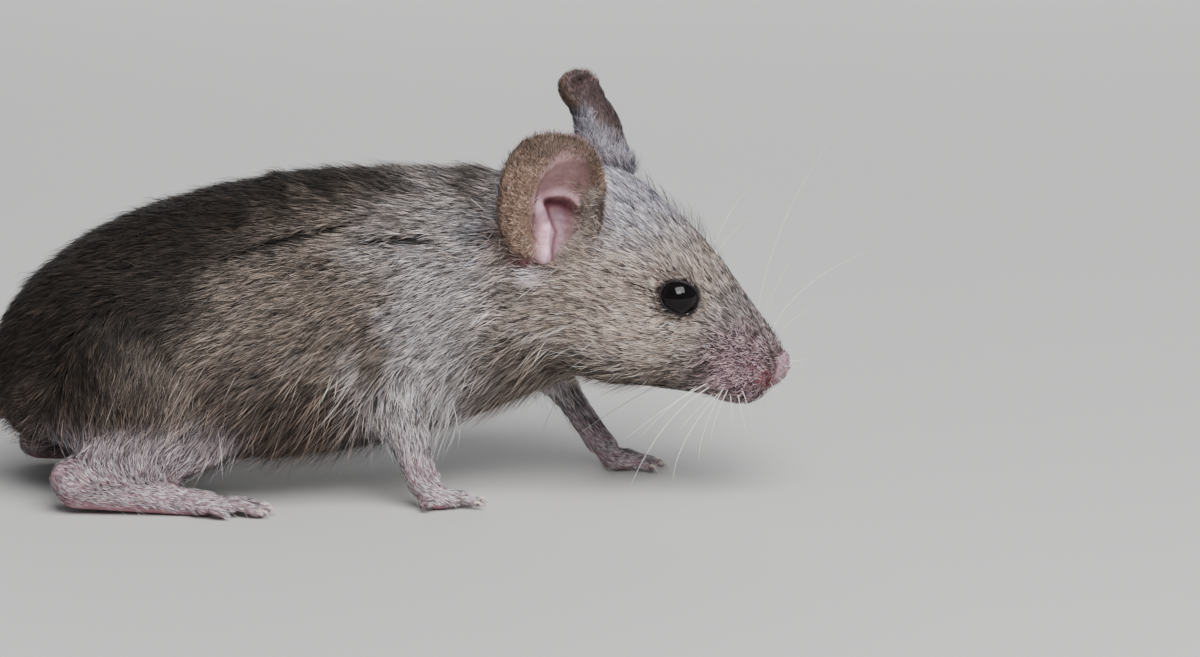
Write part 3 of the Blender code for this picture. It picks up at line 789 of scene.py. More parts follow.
def tones_of_coat(points, settings):
    """For each region, the tone of the coat, painted shade and highlight included. Skin and hair take
    their markings from here.
    """
    def tone(name):
        return flat_tone(points, getattr(settings, name))

    height = points[:, 2] / TRUNK_TOP
    along = (points[:, 0] - RUMP_X) / TRUNK_LENGTH
    patches = 0.10 * ripple(points, 7.0, 11) + 0.07 * ripple(points, 3.0, 12)
    # Darker towards the underside: the belly's own grey with painted shade
    body = mixed(tone("shaded_belly"), tone("flank"), smooth_step(0.26, 0.56, height + patches))
    front = smooth_step(0.75, 0.96, along + patches) * smooth_step(0.14, 0.30, height)
    body = mixed(body, tone("shoulder"), front * smooth_step(1.20, 0.70, height + patches))
    # The back's own dark brown over the back and rump, deepened with painted shade
    over_edge = height + 0.6 * patches - np.interp(along, *BACK_EDGE)
    dark_back_and_shade = smooth_step(-1.0, 0.9, over_edge / np.interp(along, *BACK_SOFTNESS))
    dark_back_and_shade = dark_back_and_shade * smooth_step(1.15, 0.95, along)
    rear = smooth_step(0.55, 0.05, along) * smooth_step(0.15, 0.65, height + patches)
    body = mixed(body, tone("back"), np.clip(dark_back_and_shade + 0.85 * rear, 0, 0.95))

    local = on_both_sides(points)
    ahead, up = local[:, 0], local[:, 2]
    # The pale crown is partly painted highlight on the top of the head
    crown = smooth_step(1.0, 5.5, up + 7 * patches) * smooth_step(2.5, -4.0, ahead)
    head = mixed(tone("face"), tone("crown"), crown)
    # painted shade under the jaw and throat
    head = mixed(head, tone("flank") * 0.5, 0.85 * smooth_step(-5.6, -8.0, up))
    head = mixed(head, tone("snout"), smooth_step(1.5, 5.0, ahead))
    pad = np.linalg.norm((local - numbers(WHISKER_PAD)) * numbers((1, 0.6, 1)), axis=1)
    head = mixed(head, tone("muzzle"), smooth_step(4.7, 1.4, pad + 5 * patches))
    head = mixed(head, tone("back"), 0.9 * spot_on_head(local, DARK_SPOT, 0.8))
    head = head * (1 + 0.35 * spot_on_head(local, EYE_CORNER, 2.2))[:, None]
    head = mixed(body, head, smooth_step(-18.0, -10.0, ahead + 8 * patches))
    head = head * (1 - 0.5 * spot_on_head(local, UNDER_EAR, 2.5))[:, None]
    # painted shadow of the ear on the neck behind it
    head = mixed(head, tone("neck"), 0.95 * spot_on_head(local, BEHIND_EAR, 2.1))
    head = mixed(head, tone("leg") * 2.0, spot_on_head(local, BELOW_EAR, 1.3))
    leg = mixed(tone("leg"), tone("shoulder"), smooth_step(4.0, 11.0, points[:, 2]))
    leg = mixed(leg, body, smooth_step(0.87, 0.77, along) * smooth_step(5.0, 8.0, points[:, 2]))
    hind = mixed(tone("leg"), body, smooth_step(4.0, 10.0, points[:, 2]))
    return {
        "head": head, "nose": tone("muzzle") * 1.5, "neck": head, "trunk": body,
        "foreleg": leg, "hindleg": hind, "forefoot": tone("leg") * 1.15,
        "hindfoot": tone("leg") * 1.15, "ear": tone("ear"), "tail": tone("leg") * 0.7,
    }


def blended_regions(weights, values):
    """Values of each region, blended by the regions' weights at each point."""
    total = 0
    for index, key in enumerate(REGION_KEYS):
        value = np.asarray(values[key], float)
        weight = weights[:, index]
        total = total + (value * weight[:, None] if value.ndim == 2 else value * weight)
    return total


def ear_share(surface, normals, word):
    """Points on an ear's own axes, how far they face out of its bowl, and which are near it."""
    local = seen_from(EARS[word], surface.points)
    facing = normals @ numbers(EARS[word].to_3x3().col[2])
    near = (np.abs(local[:, 0]) < 6.0) & (np.abs(local[:, 1]) < 7.5) & (np.abs(local[:, 2]) < 5.0)
    return local, facing, near


# Folds of the ear, (ahead, up its length) on its own axes, with half width and height, which is
# below 0 for a hollow
EAR_COLUMN = (((-1.3, -0.2), (-1.0, -1.0), (-0.5, -1.9), (0.05, -2.6), (0.2, -3.0), (-0.1, -3.6),
               (-0.4, -4.2), (-0.35, -5.0), (-0.1, -5.6)), 0.50, 0.62)
EAR_ARCH = (((-0.8, -0.2), (0.3, 0.15), (1.1, 0.25), (1.9, 0.05), (2.6, -0.5), (3.0, -1.2)),
            0.34, 0.36)
EAR_PIT = (((0.1, -0.8), (0.8, -0.8), (1.6, -0.8), (2.2, -1.3)), 0.46, -0.26)
EAR_SLOT = (((1.35, -1.7), (1.5, -2.5), (1.4, -3.4), (1.1, -4.2), (0.8, -4.8)), 0.50, -0.26)
# Lines over the ear: the shade beside the column, the fringe before the bowl, the notch behind it
EAR_SHADE = ((0.1, -1.1), (0.35, -1.8), (0.8, -2.6), (0.95, -3.1), (0.6, -3.8), (0.3, -4.4),
             (0.4, -5.0))
EAR_FRONT = ((3.6, 0.3), (3.3, -0.8), (3.1, -1.8), (3.0, -2.8), (2.6, -3.8), (2.0, -4.8))
EAR_NOTCH = ((-2.7, -5.6), (-1.2, -5.8))
# Heights of the small ridges across the hollow
EAR_RIDGES = (-2.0, -2.6, -3.2, -3.8, -4.3)


def fold_ears(surface, normals, inner_side):
    """Raises the folds inside the ears and sinks the hollows between them."""
    move = np.zeros(len(surface.points))
    for word in SIDES:
        local, _, near = ear_share(surface, normals, word)
        inner = near & inner_side
        for path, width, height in (EAR_COLUMN, EAR_ARCH, EAR_PIT, EAR_SLOT):
            gap, along = off_line(local[:, :2], path)
            taper = smooth_step(0.0, 0.18, along) * smooth_step(1.0, 0.85, along)
            move += inner * height * np.exp(-(gap / width) ** 2) * (taper if height > 0 else 1.0)
        for place in EAR_RIDGES:
            across, ahead = (local[:, 1] - place) / 0.12, (local[:, 0] - 1.6) / 0.6
            move += inner * 0.10 * np.exp(-across ** 2) * np.exp(-ahead ** 2)
    return move


# How the far ear's outline differs from its solid, at heights above its middle: how far it is
# shifted ahead, how many times it is widened, and where the middle of that is
FAR_EAR = (
    (-3.2, 0.75, 1.00, 1.40), (-2.0, 0.30, 1.00, 1.00), (-1.1, 0.12, 1.00, 0.50),
    (0.0, 0.24, 0.92, 0.10), (1.1, 0.47, 0.92, -0.24), (2.1, 0.50, 0.96, -0.64),
    (3.2, 0.20, 1.22, -1.00), (4.3, 0.00, 1.37, -1.14),
)
FAR_EAR_ROOT = (-8.2, 6.2, 5.9)          # on the head: the fur that fills the front of the root


def shaped_far_ear(surface, normals, ear_weight):
    """Widens the far ear's tip, leans its middle ahead and fills its front root."""
    from_middle = surface.points - numbers(middle("ear_left"))
    height = from_middle @ numbers((0.0, 0.21, 0.98))
    levels, shift, widen, centre = numbers(FAR_EAR).T
    shift, widen, centre = (np.interp(height, levels, row) for row in (shift, widen, centre))
    weight = ear_weight * (surface.points[:, 1] > TRUNK_SIDE) * smooth_step(-4.2, -3.0, height)
    surface.points[:, 0] += weight * (shift + (widen - 1) * (from_middle[:, 0] - centre))
    root = spot_on_head(seen_from(HEAD, surface.points), FAR_EAR_ROOT, 1.5)
    surface.points += normals * (0.95 * root)[:, None]


LID_ANGLE = math.radians(52.0)
LID_STRETCH = 0.18           # how much longer than high the opening is
LID_LIFT = 0.10              # how far its rim stands out of the eyeball
LID_TUCK = 0.16              # how far the skin under the eyeball is sunk
LID_REACH = 1.9              # how far round the eyeball the skin is shaped
LID_TURN = (-0.14, 0.0, -0.24)   # how the opening is turned from the way that its socket faces


def eye_ways(surface, normals):
    """The way out of each eye: the mean way that the skin faces round it."""
    found = {}
    for word, eye in EYES.items():
        way = unit(normals[distance(surface.points, eye) < 3.0].mean(0))
        found[word] = unit(way + numbers(HEAD_TURN @ Vector(LID_TURN)))
    return found


def lid_angles(points, word, way):
    """How far points are from an eye, and the angle that they stand beyond the lid's edge."""
    out = points - numbers(EYES[word])
    gap = np.linalg.norm(out, axis=1)
    aim = out / gap[:, None]
    angle = np.arccos(np.clip(aim @ way, -1, 1))
    ahead = numbers(HEAD_TURN.col[0])
    ahead = unit(ahead - way * (ahead @ way))
    lengthwise = (aim @ ahead) ** 2 / np.maximum(np.sin(angle) ** 2, 1e-6)
    edge = LID_ANGLE * (1 + LID_STRETCH * (2 * np.clip(lengthwise, 0, 1) - 1))
    return gap, aim, angle - edge


def shape_lids(surface, ways):
    """Lays the skin under each eyeball and lifts a soft rim round the opening."""
    for word, way in ways.items():
        gap, aim, beyond = lid_angles(surface.points, word, way)
        step = math.radians(1.0)
        under = EYE_RADIUS - LID_TUCK
        rim = EYE_RADIUS + LID_LIFT
        target = np.where(beyond < -3 * step, under,
                          under + (rim - under) * smooth_step(-3 * step, 5 * step, beyond))
        target = target - 0.10 * smooth_step(6 * step, 22 * step, beyond)
        keep = smooth_step(8 * step, 40 * step, beyond)
        near = gap < EYE_RADIUS + LID_REACH
        reach = np.where(near, target * (1 - keep) + gap * keep, gap)
        surface.points = numbers(EYES[word]) + aim * reach[:, None]


# On the head, from midway between the eyes: (ahead, aside, up)
NOSTRIL = ((9.20, 1.45, -5.00), (9.25, 1.85, -4.70), (8.95, 2.20, -4.35))
PHILTRUM = ((10.3, 0.0, -4.5), (9.8, 0.0, -5.3), (8.9, 0.0, -6.3))
MOUTH = ((8.8, 0.0, -6.4), (7.9, 1.2, -6.7), (6.2, 2.2, -7.0), (4.6, 2.7, -7.2))
CREASES = ((NOSTRIL, 0.24, -0.50), (PHILTRUM, 0.16, -0.28), (MOUTH, 0.22, -0.34))
CHEEK_PAD = ((8.0, 2.3, -4.8), (6.2, 3.2, -4.8))


def crease_face(surface):
    """Nostrils, the cleft below the nose, the line of the mouth and fuller whisker pads."""
    local = on_both_sides(surface.points)
    move = np.zeros(len(local))
    for path, width, height in CREASES:
        gap, _ = off_line(local, path)
        move += height * np.exp(-(gap / width) ** 2)
    gap, _ = off_line(local, CHEEK_PAD)
    move += 0.16 * np.exp(-(gap / 1.2) ** 2)
    return move


# The kind of attribute, and its field, for so many numbers to a vertex
FIELDS = {1: ("FLOAT", "value"), 3: ("FLOAT_VECTOR", "vector"), 4: ("FLOAT_COLOR", "color")}


def store(mesh, name, values):
    """values, one row for each vertex, as an attribute of mesh."""
    kind, field = FIELDS[1 if values.ndim == 1 else values.shape[1]]
    layer = mesh.attributes.new(name, kind, "POINT")
    layer.data.foreach_set(field, values.astype(np.float32).ravel())


def stored(mesh, name, width=1):
    """An attribute of mesh as numbers, one row for each vertex."""
    values = np.zeros(width * len(mesh.vertices), np.float32)
    mesh.attributes[name].data.foreach_get(FIELDS[width][1], values)
    return values.reshape(-1, width).astype(float) if width > 1 else values.astype(float)


def with_alpha(tones):
    return np.concatenate([np.clip(tones, 0, 1), np.ones((len(tones), 1))], 1)


class MOUSE_OT_skin(bpy.types.Operator):
    """Grow one skin under the whole coat, with lids, nostrils and folded ears"""
    bl_idname = "mouse.skin"
    bl_label = "Skin"

    def execute(self, context):
        settings = context.scene.mouse_skin
        coat = context.scene.mouse_coat
        skin = refined(thinned_under_fur(grown_together(settings)))
        mesh = skin.data
        surface = Surface(mesh)
        surface.soften(3)
        labels = region_labels(surface.points)
        one_hot = (labels[:, None] == np.arange(len(REGION_KEYS))).astype(float)
        weights = surface.spread(one_hot, 14)
        share_of = {key: weights[:, k] for k, key in enumerate(REGION_KEYS)}
        depth, length, width, thick = coat_numbers(surface.points, weights)
        normals = surface.normals()

        # The insides of the ears, before they move
        on_ear = labels == REGION_KEYS.index("ear")
        inner = np.zeros(len(labels), bool)
        for word in SIDES:
            _, facing, near = ear_share(surface, normals, word)
            inner |= near & (facing > 0.1) & on_ear

        surface.points -= normals * surface.spread(depth, 4)[:, None]
        surface.soften(2)
        normals = surface.normals()
        shaped_far_ear(surface, normals, share_of["ear"])
        lid_ways = eye_ways(surface, normals)
        shape_lids(surface, lid_ways)
        normals = surface.normals()
        lift = surface.spread(fold_ears(surface, normals, inner) + crease_face(surface), 1)
        surface.points += normals * lift[:, None]
        surface.points[:, 2] = np.maximum(surface.points[:, 2], 0.0)
        write_points(mesh, surface.points)
        normals = surface.normals()

        lie = surface.spread(blended_regions(weights, lie_of_coat(surface.points)), 6)
        lie = unit(lie - normals * (lie * normals).sum(1)[:, None])
        bend = surface.spread(np.clip(surface.bend_along(normals, lie), -0.15, 0.35), 8)
        fur = blended_regions(weights, tones_of_coat(surface.points, coat))
        tone = mixed(blended_regions(weights, tones_of_skin(surface.points, settings)),
                     fur * settings.under_fur,
                     blended_regions(weights, furred_shares(surface.points)))
        pelt = Pelt(lie, tone, fur, thick, length)
        paint_lids(pelt, surface.points, lid_ways, settings)
        for word in SIDES:
            paint_ear(pelt, word, surface, normals, share_of["ear"], inner, settings, coat)
        paint_face_and_feet(pelt, surface.points, normals, share_of, settings)

        for name, values in (("lie", pelt.lie), ("fur", with_alpha(pelt.fur)),
                             ("tone", with_alpha(pelt.tone)), ("depth", depth),
                             ("length", pelt.length), ("width", width), ("thick", pelt.thick),
                             ("bend", bend), ("ear", share_of["ear"]),
                             ("head", share_of["head"] + share_of["nose"]),
                             ("neck", share_of["neck"]), ("trunk", share_of["trunk"])):
            store(mesh, name, values)
        unwrap(skin)
        mesh.shade_smooth()
        finished(skin, skin_material(), "bare_skin", *FLESH)
        return {"FINISHED"}


class Pelt:
    """What each vertex of the skin carries: how its hair lies, its tones and its hairs."""

    def __init__(self, lie, tone, fur, thick, length):
        self.lie, self.tone, self.fur = lie, tone, fur
        self.thick, self.length = thick, length

    def paint(self, tone, amount):
        self.tone = mixed(self.tone, numbers(tone), amount)

    def dye(self, tone, amount):
        self.fur = mixed(self.fur, numbers(tone), amount)

    def comb(self, way, amount):
        self.lie = mixed(self.lie, numbers(way), amount)

    def darken(self, amount):
        self.tone = self.tone * (1 - amount)[:, None]

    def thin_out(self, amount):
        self.thick = self.thick * (1 - amount)


def within(angle, outer, inner):
    """1 where an angle is below inner and 0 where it is above outer, both in degrees."""
    return smooth_step(math.radians(outer), math.radians(inner), angle)


def paint_lids(pelt, points, lid_ways, settings):
    """Dark lids with a violet edge, bare at the rim and short of hair round it."""
    for word, way in lid_ways.items():
        gap, _, beyond = lid_angles(points, word, way)
        near = smooth_step(EYE_RADIUS + 0.9, EYE_RADIUS + 0.5, gap)
        pelt.paint(settings.lid_edge, near * within(beyond, 10.5, 7.5))
        pelt.paint(settings.lid, near * within(beyond, 8, 5))
        pelt.thin_out(near * within(beyond, 6.5, 4))
        pelt.length = pelt.length * (1 - 0.65 * near * smooth_step(1.1, 0.0, beyond))


EAR_OPENING = ((0.75, -0.6), (2.65, 5.2), 2.4)   # of the bare bowl: middle, half sizes, squareness
EAR_FRINGE_WAY = (-0.85, 0.10, 0.45)     # how the hairs before the bowl point, on the ear's axes
EAR_BAND_HAIRS, EAR_FRINGE_HAIRS, EAR_BACK_HAIRS = 60, 90, 45    # added to each square millimetre


def paint_ear(pelt, word, surface, normals, ear_weight, inner, settings, coat):
    """The bowl with its folds and furred band, the fringe before it and the ear's back."""
    local, facing, near = ear_share(surface, normals, word)
    here = near * ear_weight
    inside = here * inner
    outer = here * ~inner
    ahead, up = local[:, 0], local[:, 1]

    def beside(path, reach):
        return np.exp(-(off_line(local[:, :2], path)[0] / reach) ** 2)

    (middle_x, middle_y), (half_x, half_y), square = EAR_OPENING
    out = (np.abs((ahead - middle_x) / half_x) ** square
           + np.abs((up - middle_y) / half_y) ** square) ** (1 / square)
    band = smooth_step(0.70, 1.10, out + 0.04 * ripple(surface.points, 1.2, 31))
    band = band * (1 - smooth_step(-3.6, -4.8, up) * smooth_step(-1.8, -0.8, ahead))
    edge = numbers(settings.ear_edge)
    pelt.paint(edge * (1 - 0.55 * smooth_step(1.2, 3.8, up))[:, None], inside * band)
    shaded = smooth_step(1.0, 2.8, ahead) * smooth_step(0.2, 2.2, up)
    shaded = shaded + 0.5 * smooth_step(3.6, 4.6, up)
    pelt.paint(edge * 0.6, 0.6 * inside * np.clip(shaded, 0, 1))
    bright, deep = numbers(settings.ear_column), numbers(settings.ear_depth_shade)
    # the pit and the line beside the column take painted shade
    for tone, path, reach, amount in (
            (bright * 0.40, EAR_SLOT[0], 0.85, 1.0), (bright, EAR_ARCH[0], 0.36, 0.3),
            (bright, EAR_COLUMN[0], 0.56, 1.0), (deep, EAR_PIT[0], 0.52, 1.0),
            (deep, EAR_SHADE, 0.22, 0.8)):
        pelt.paint(tone, amount * inside * beside(path, reach))
    pelt.paint(numbers(settings.nostril) * 0.6, near * beside(EAR_NOTCH, 0.42))
    pelt.dye(pelt.fur * 0.42, here * smooth_step(1.8, 4.0, up))
    down = np.clip(band + 0.25 * shaded, 0, 1)
    pelt.thick = pelt.thick + EAR_BAND_HAIRS * inside * band
    pelt.thin_out(np.clip(inside * (1 - down), 0, 1))
    pelt.thin_out(near * beside(EAR_NOTCH, 0.8))

    fringe = near * beside(EAR_FRONT, 0.85)
    pelt.thick = pelt.thick + EAR_FRINGE_HAIRS * fringe
    pelt.length = pelt.length + 0.9 * fringe
    pelt.dye(numbers(coat.face) * 0.85, np.clip(1.5 * fringe, 0, 1))
    pelt.paint(pelt.fur * 0.55, np.clip(1.3 * fringe, 0, 1))
    axes = EARS[word].to_3x3()
    pelt.comb(axes @ Vector(EAR_FRINGE_WAY), np.clip(1.2 * fringe, 0, 1))

    back = outer * smooth_step(-0.25, -0.8, facing)
    # painted light: the near ear's back is made paler than the far one's to lift it out of its shade;
    # its root takes the neck's painted shadow tone, made paler
    pale, root_tone = 1.7, numbers(coat.neck) * 1.6
    if word == "left":
        back = np.maximum(back, here * smooth_step(2.9, 1.9, up + 0.3 * ahead + 1.2))
        pale, root_tone = 1.0, numbers(coat.crown) * 0.85
    root = back * smooth_step(1.4, -1.6, up + 0.8 * (ahead + 1))
    pelt.comb(axes.col[1], np.clip(1.5 * back, 0, 1))
    pelt.dye(numbers(coat.ear_back) * pale * (1 + 1.3 * smooth_step(3.2, 4.4, up))[:, None], back)
    pelt.dye(root_tone, root)
    pelt.paint(pelt.fur * 0.6, outer)
    pelt.thick = pelt.thick + EAR_BACK_HAIRS * outer
    pelt.length = pelt.length + 0.45 * back + 0.8 * root


def paint_face_and_feet(pelt, points, normals, share_of, settings):
    """The nose, the nostrils and the bare soles, with painted shade in the partings, the nostrils and
    the mouth's line.
    """
    # painted shade on the skin of the partings
    pelt.darken(0.95 * near_partings(points)[0])
    pelt.paint(settings.nose, np.clip(share_of["nose"] * 1.3, 0, 1))
    local = on_both_sides(points)
    gap, _ = off_line(local, NOSTRIL)
    pelt.paint(settings.nostril, np.exp(-(gap / 0.42) ** 2))
    # painted shade deep in the nostrils
    pelt.darken(0.6 * np.exp(-(gap / 0.2) ** 2))
    pelt.thin_out(np.exp(-(gap / 0.5) ** 2))
    gap, _ = off_line(local, MOUTH)
    # painted shade in the crease of the mouth
    pelt.darken(0.45 * np.exp(-(gap / 0.3) ** 2))
    sole = smooth_step(-0.2, -0.7, normals[:, 2]) * (share_of["forefoot"] + share_of["hindfoot"])
    pelt.thin_out(sole)
    pelt.paint(pelt.tone * numbers((0.95, 0.80, 0.84)), sole)


def unwrap(skin):
    """Lays the skin out flat, for the places of the hairs' roots."""
    only(skin)
    bpy.ops.object.mode_set(mode="EDIT")
    bpy.ops.mesh.select_all(action="SELECT")
    skin.data.uv_layers.new(name="OFBake")
    bpy.ops.uv.smart_project(angle_limit=math.radians(70), island_margin=0.001)
    bpy.ops.object.mode_set(mode="OBJECT")


# ---------------------------------------------------------------- eyes

class MOUSE_OT_eyes(bpy.types.Operator):
    """Set the eyes into their lids"""
    bl_idname = "mouse.eyes"
    bl_label = "Eyes"

    def execute(self, context):
        tone = context.scene.mouse_detail.eye
        material = eye_material(tone)
        for word, eye in EYES.items():
            deselect()
            bpy.ops.mesh.primitive_uv_sphere_add(
                segments=48, ring_count=24, radius=EYE_RADIUS * MM, location=eye * MM)
            ball = bpy.context.object
            ball.name = ball.data.name = "eyeball_" + word
            bulge_cornea(ball, word)
            bpy.ops.object.transform_apply(location=True, rotation=True, scale=True)
            ball.data.shade_smooth()
            finished(ball, material, "eye", "eye_" + word)
        return {"FINISHED"}


CORNEA = 0.06                # how far the front of the eye stands out of the ball


def bulge_cornea(ball, word):
    """The clear front of the eye, a little steeper than the ball behind it."""
    out = HEAD_TURN.col[1] * SIDES[word] + HEAD_TURN.col[2] * 0.3 + HEAD_TURN.col[0] * 0.2
    out.normalize()
    for vertex in ball.data.vertices:
        aim = vertex.co.normalized()
        front = float(smooth_step(0.55, 0.9, aim.dot(out)))
        vertex.co += aim * (CORNEA * MM * front)


# ---------------------------------------------------------------- claws

def toe_tips(node):
    """The tips of a foot's toes and the way that each points, found as its farthest points."""
    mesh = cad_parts[node].data
    points = np.array([vertex.co for vertex in mesh.vertices]) / MM
    heel = points.mean(0)
    ahead = 0.0 if node.startswith("fore") else 3.5
    hub = numbers((heel[0] + ahead, heel[1], 0.5))
    low = points[points[:, 2] < 1.3]
    reach = np.linalg.norm(low - hub, axis=1)
    tips = []
    for k in np.argsort(-reach):
        way = low[k] - hub
        if node.startswith("hind") and way[0] < 0:
            continue
        if reach[k] < 2.2:
            break
        if all(np.linalg.norm(low[k] - tip) > 0.95 for tip, _ in tips):
            tips.append((low[k], unit(way * numbers((1, 1, 0)))))
    return tips[:5]


CLAW_SINK = 0.45             # how far its root lies behind the toe's tip
CLAW_HEIGHT = 0.62           # of its root, over the floor
CLAW_ARCH, CLAW_DROP = 0.16, 0.42    # how far its middle rises and its point comes down
CLAW_RADIUS = 0.16
CLAW_STEPS = 6


class MOUSE_OT_claws(bpy.types.Operator):
    """Put a small curved claw on every toe"""
    bl_idname = "mouse.claws"
    bl_label = "Claws"

    def execute(self, context):
        settings = context.scene.mouse_detail
        length = settings.claw_length / MM
        bm = bmesh.new()
        for kind in ("forefoot", "hindfoot"):
            for word in SIDES:
                for tip, way in toe_tips(f"{kind}_{word}"):
                    start = Vector(tip) - Vector(way) * CLAW_SINK
                    start.z = CLAW_HEIGHT
                    line, radii = [], []
                    for k in range(CLAW_STEPS):
                        t = k / (CLAW_STEPS - 1)
                        rise = CLAW_ARCH * math.sin(math.pi * t) - CLAW_DROP * t ** 2
                        line.append(start + Vector(way) * (length * t) + Vector((0, 0, rise)))
                        radii.append(CLAW_RADIUS * (1 - t) ** 0.7 + 0.015)
                    add_tube(bm, line, radii, 8)
        claws = from_bmesh("claws", bm)
        finished(claws, horn_material("mouse_claw", settings.claw, 0.35), "bare_skin")
        return {"FINISHED"}


# ---------------------------------------------------------------- whiskers

# Each whisker: its root, middle and end as (ahead, aside, up) on the head
NEAR_WHISKERS = (
    ((4.1, 3.1, -7.1), (2.4, 5.8, -9.2), (1.4, 8.2, -11.4)),
    ((5.1, 3.6, -6.5), (3.0, 7.3, -9.8), (2.3, 11.4, -14.7)),
    ((5.4, 3.1, -7.1), (4.5, 5.0, -8.9), (4.0, 6.4, -10.2)),
    ((5.9, 3.5, -6.7), (4.9, 7.2, -10.4), (5.3, 9.7, -13.5)),
    ((6.1, 3.9, -5.9), (6.0, 6.6, -8.9), (6.6, 8.6, -11.3)),
    ((6.5, 3.9, -6.0), (6.5, 5.8, -8.2), (6.9, 7.2, -9.9)),
    ((6.6, 3.7, -6.3), (7.6, 4.9, -7.7), (8.0, 5.6, -8.5)),
    ((7.2, 3.7, -6.1), (8.9, 5.3, -8.0), (9.9, 6.2, -8.9)),
    ((7.5, 3.8, -5.6), (8.8, 4.9, -6.8), (9.4, 5.4, -7.4)),
    ((4.8, 3.6, -6.2), (2.6, 7.4, -8.4), (0.4, 10.6, -11.6)),
)
FAR_WHISKERS = (
    ((6.2, 2.8, -3.6), (5.2, 5.0, 5.5), (6.3, 7.8, 13.9)),
    ((6.6, 2.8, -3.8), (6.5, 3.9, 0.3), (6.8, 5.2, 3.7)),
    ((7.2, 2.5, -3.8), (8.7, 4.8, 2.0), (12.8, 7.8, 6.6)),
    ((7.6, 2.3, -4.0), (8.6, 3.5, -0.9), (10.3, 4.6, 1.1)),
    ((5.2, 3.1, -5.4), (-1.0, 3.9, -11.2), (-7.3, 5.5, -20.5)),
    ((5.6, 3.1, -4.6), (3.5, 8.0, -4.4), (-0.5, 12.0, -5.0)),
    ((6.2, 3.0, -5.0), (5.2, 7.6, -5.6), (2.5, 11.5, -7.5)),
    ((6.8, 2.8, -5.2), (6.8, 6.5, -6.2), (6.0, 9.5, -8.5)),
    ((7.3, 2.5, -5.6), (8.2, 5.0, -7.2), (8.8, 6.8, -9.4)),
    ((6.2, 2.9, -5.9), (5.4, 5.2, -8.2), (4.8, 7.0, -11.0)),
    ((0.3, 5.0, 1.6), (0.5, 6.6, 5.4), (1.3, 8.1, 7.8)),
    ((1.2, 4.0, 2.4), (1.6, 4.6, 4.6), (2.6, 5.2, 6.2)),
)
BOTH_WHISKERS = (
    ((9.3, 1.3, -4.9), (10.0, 1.7, -5.4), (10.3, 2.0, -5.6)),
    ((9.8, 1.1, -4.3), (10.5, 1.4, -4.5), (10.7, 1.6, -4.6)),
    ((9.9, 0.9, -3.3), (11.0, 1.4, -2.8), (11.7, 1.7, -2.6)),
    ((9.0, 0.8, -5.6), (9.4, 1.0, -6.3), (9.5, 1.2, -6.9)),
)
WHISKER_STEPS = 14
WHISKER_SINK = 0.15          # how far its root lies in the skin
WHISKER_TAPER = 0.85         # the share of its radius that is lost at its tip


def whisker_line(root, middle_place, end):
    """Points along a curve from root through its middle to its end."""
    lever = 2 * middle_place - (root + end) / 2
    steps = (k / WHISKER_STEPS for k in range(WHISKER_STEPS + 1))
    return [root * (1 - t) ** 2 + lever * (2 * t * (1 - t)) + end * t ** 2 for t in steps]


class MOUSE_OT_whiskers(bpy.types.Operator):
    """Grow the whiskers out of the muzzle and over the eyes"""
    bl_idname = "mouse.whiskers"
    bl_label = "Whiskers"

    def execute(self, context):
        settings = context.scene.mouse_detail
        skin = bpy.data.objects["skin"].data
        tree = BVHTree.FromPolygons([vertex.co / MM for vertex in skin.vertices],
                                    [face.vertices for face in skin.polygons])
        bm = bmesh.new()
        thick = settings.whisker_root / MM
        sets = (("right", NEAR_WHISKERS + BOTH_WHISKERS), ("left", FAR_WHISKERS + BOTH_WHISKERS))
        for word, rows in sets:
            for row in rows:
                mirror = Vector((1, SIDES[word], 1))
                root, bend, end = (HEAD @ (Vector(place) * mirror) for place in row)
                length = (end - root).length
                end = root + (end - root) * settings.whisker_scale
                bend = root + (bend - root) * settings.whisker_scale
                seat, facing, _, _ = tree.find_nearest(root)
                line = whisker_line(seat - facing * WHISKER_SINK, bend, end)
                for point in line:
                    point.z = max(point.z, 2 * thick)
                scale = min(1.0, 0.45 + length / 26.0)
                radii = [thick * scale * (1 - WHISKER_TAPER * k / WHISKER_STEPS)
                         for k in range(WHISKER_STEPS + 1)]
                add_tube(bm, line, radii, 6)
        whiskers = from_bmesh("whiskers", bm)
        finished(whiskers, horn_material("mouse_whisker", settings.whisker, 0.32), "bare_skin")
        return {"FINISHED"}


# ---------------------------------------------------------------- the coat

# For a hair of two or three segments: how far along it its rings lie, and how wide they are
HAIR_STOPS = {2: (0.0, 0.45, 1.0), 3: (0.0, 0.30, 0.65, 1.0)}
HAIR_WIDTHS = {2: (1.0, 0.85), 3: (1.0, 0.95, 0.62)}
ROOT_DEPTH = 0.06            # how far a root is sunk in the skin
STRAND = 0.125               # how wide a strand of like hairs is
PATCH = 0.003                # width of a hair's patch on the laid-out skin


def rows_at(surface, values, faces, corners):
    """Values of the skin's vertices at places inside its triangles."""
    spots = surface.triangles[faces]
    return sum(values[spots[:, k]] * (corners[:, k, None] if values.ndim == 2 else corners[:, k])
               for k in range(3))


def scattered(surface, weight, count, rng):
    """Faces and places in them, drawn over the surface in proportion to weight on its vertices."""
    heaviness = surface.areas() * weight[surface.triangles].mean(1)
    edges = np.cumsum(heaviness)
    faces = np.searchsorted(edges, rng.random(count) * edges[-1], side="right")
    faces = np.minimum(faces, len(edges) - 1)
    one, other = np.sqrt(rng.random(count)), rng.random(count)
    corners = np.stack([1 - one, one * (1 - other), one * other], 1)
    return faces, corners


def nearest_index(centres, points):
    """For each point, the index of the centre nearest to it."""
    tree = KDTree(len(centres))
    for k, centre in enumerate(centres):
        tree.insert(centre, k)
    tree.balance()
    find = tree.find
    return np.fromiter((find(point)[1] for point in points), np.int64, len(points))


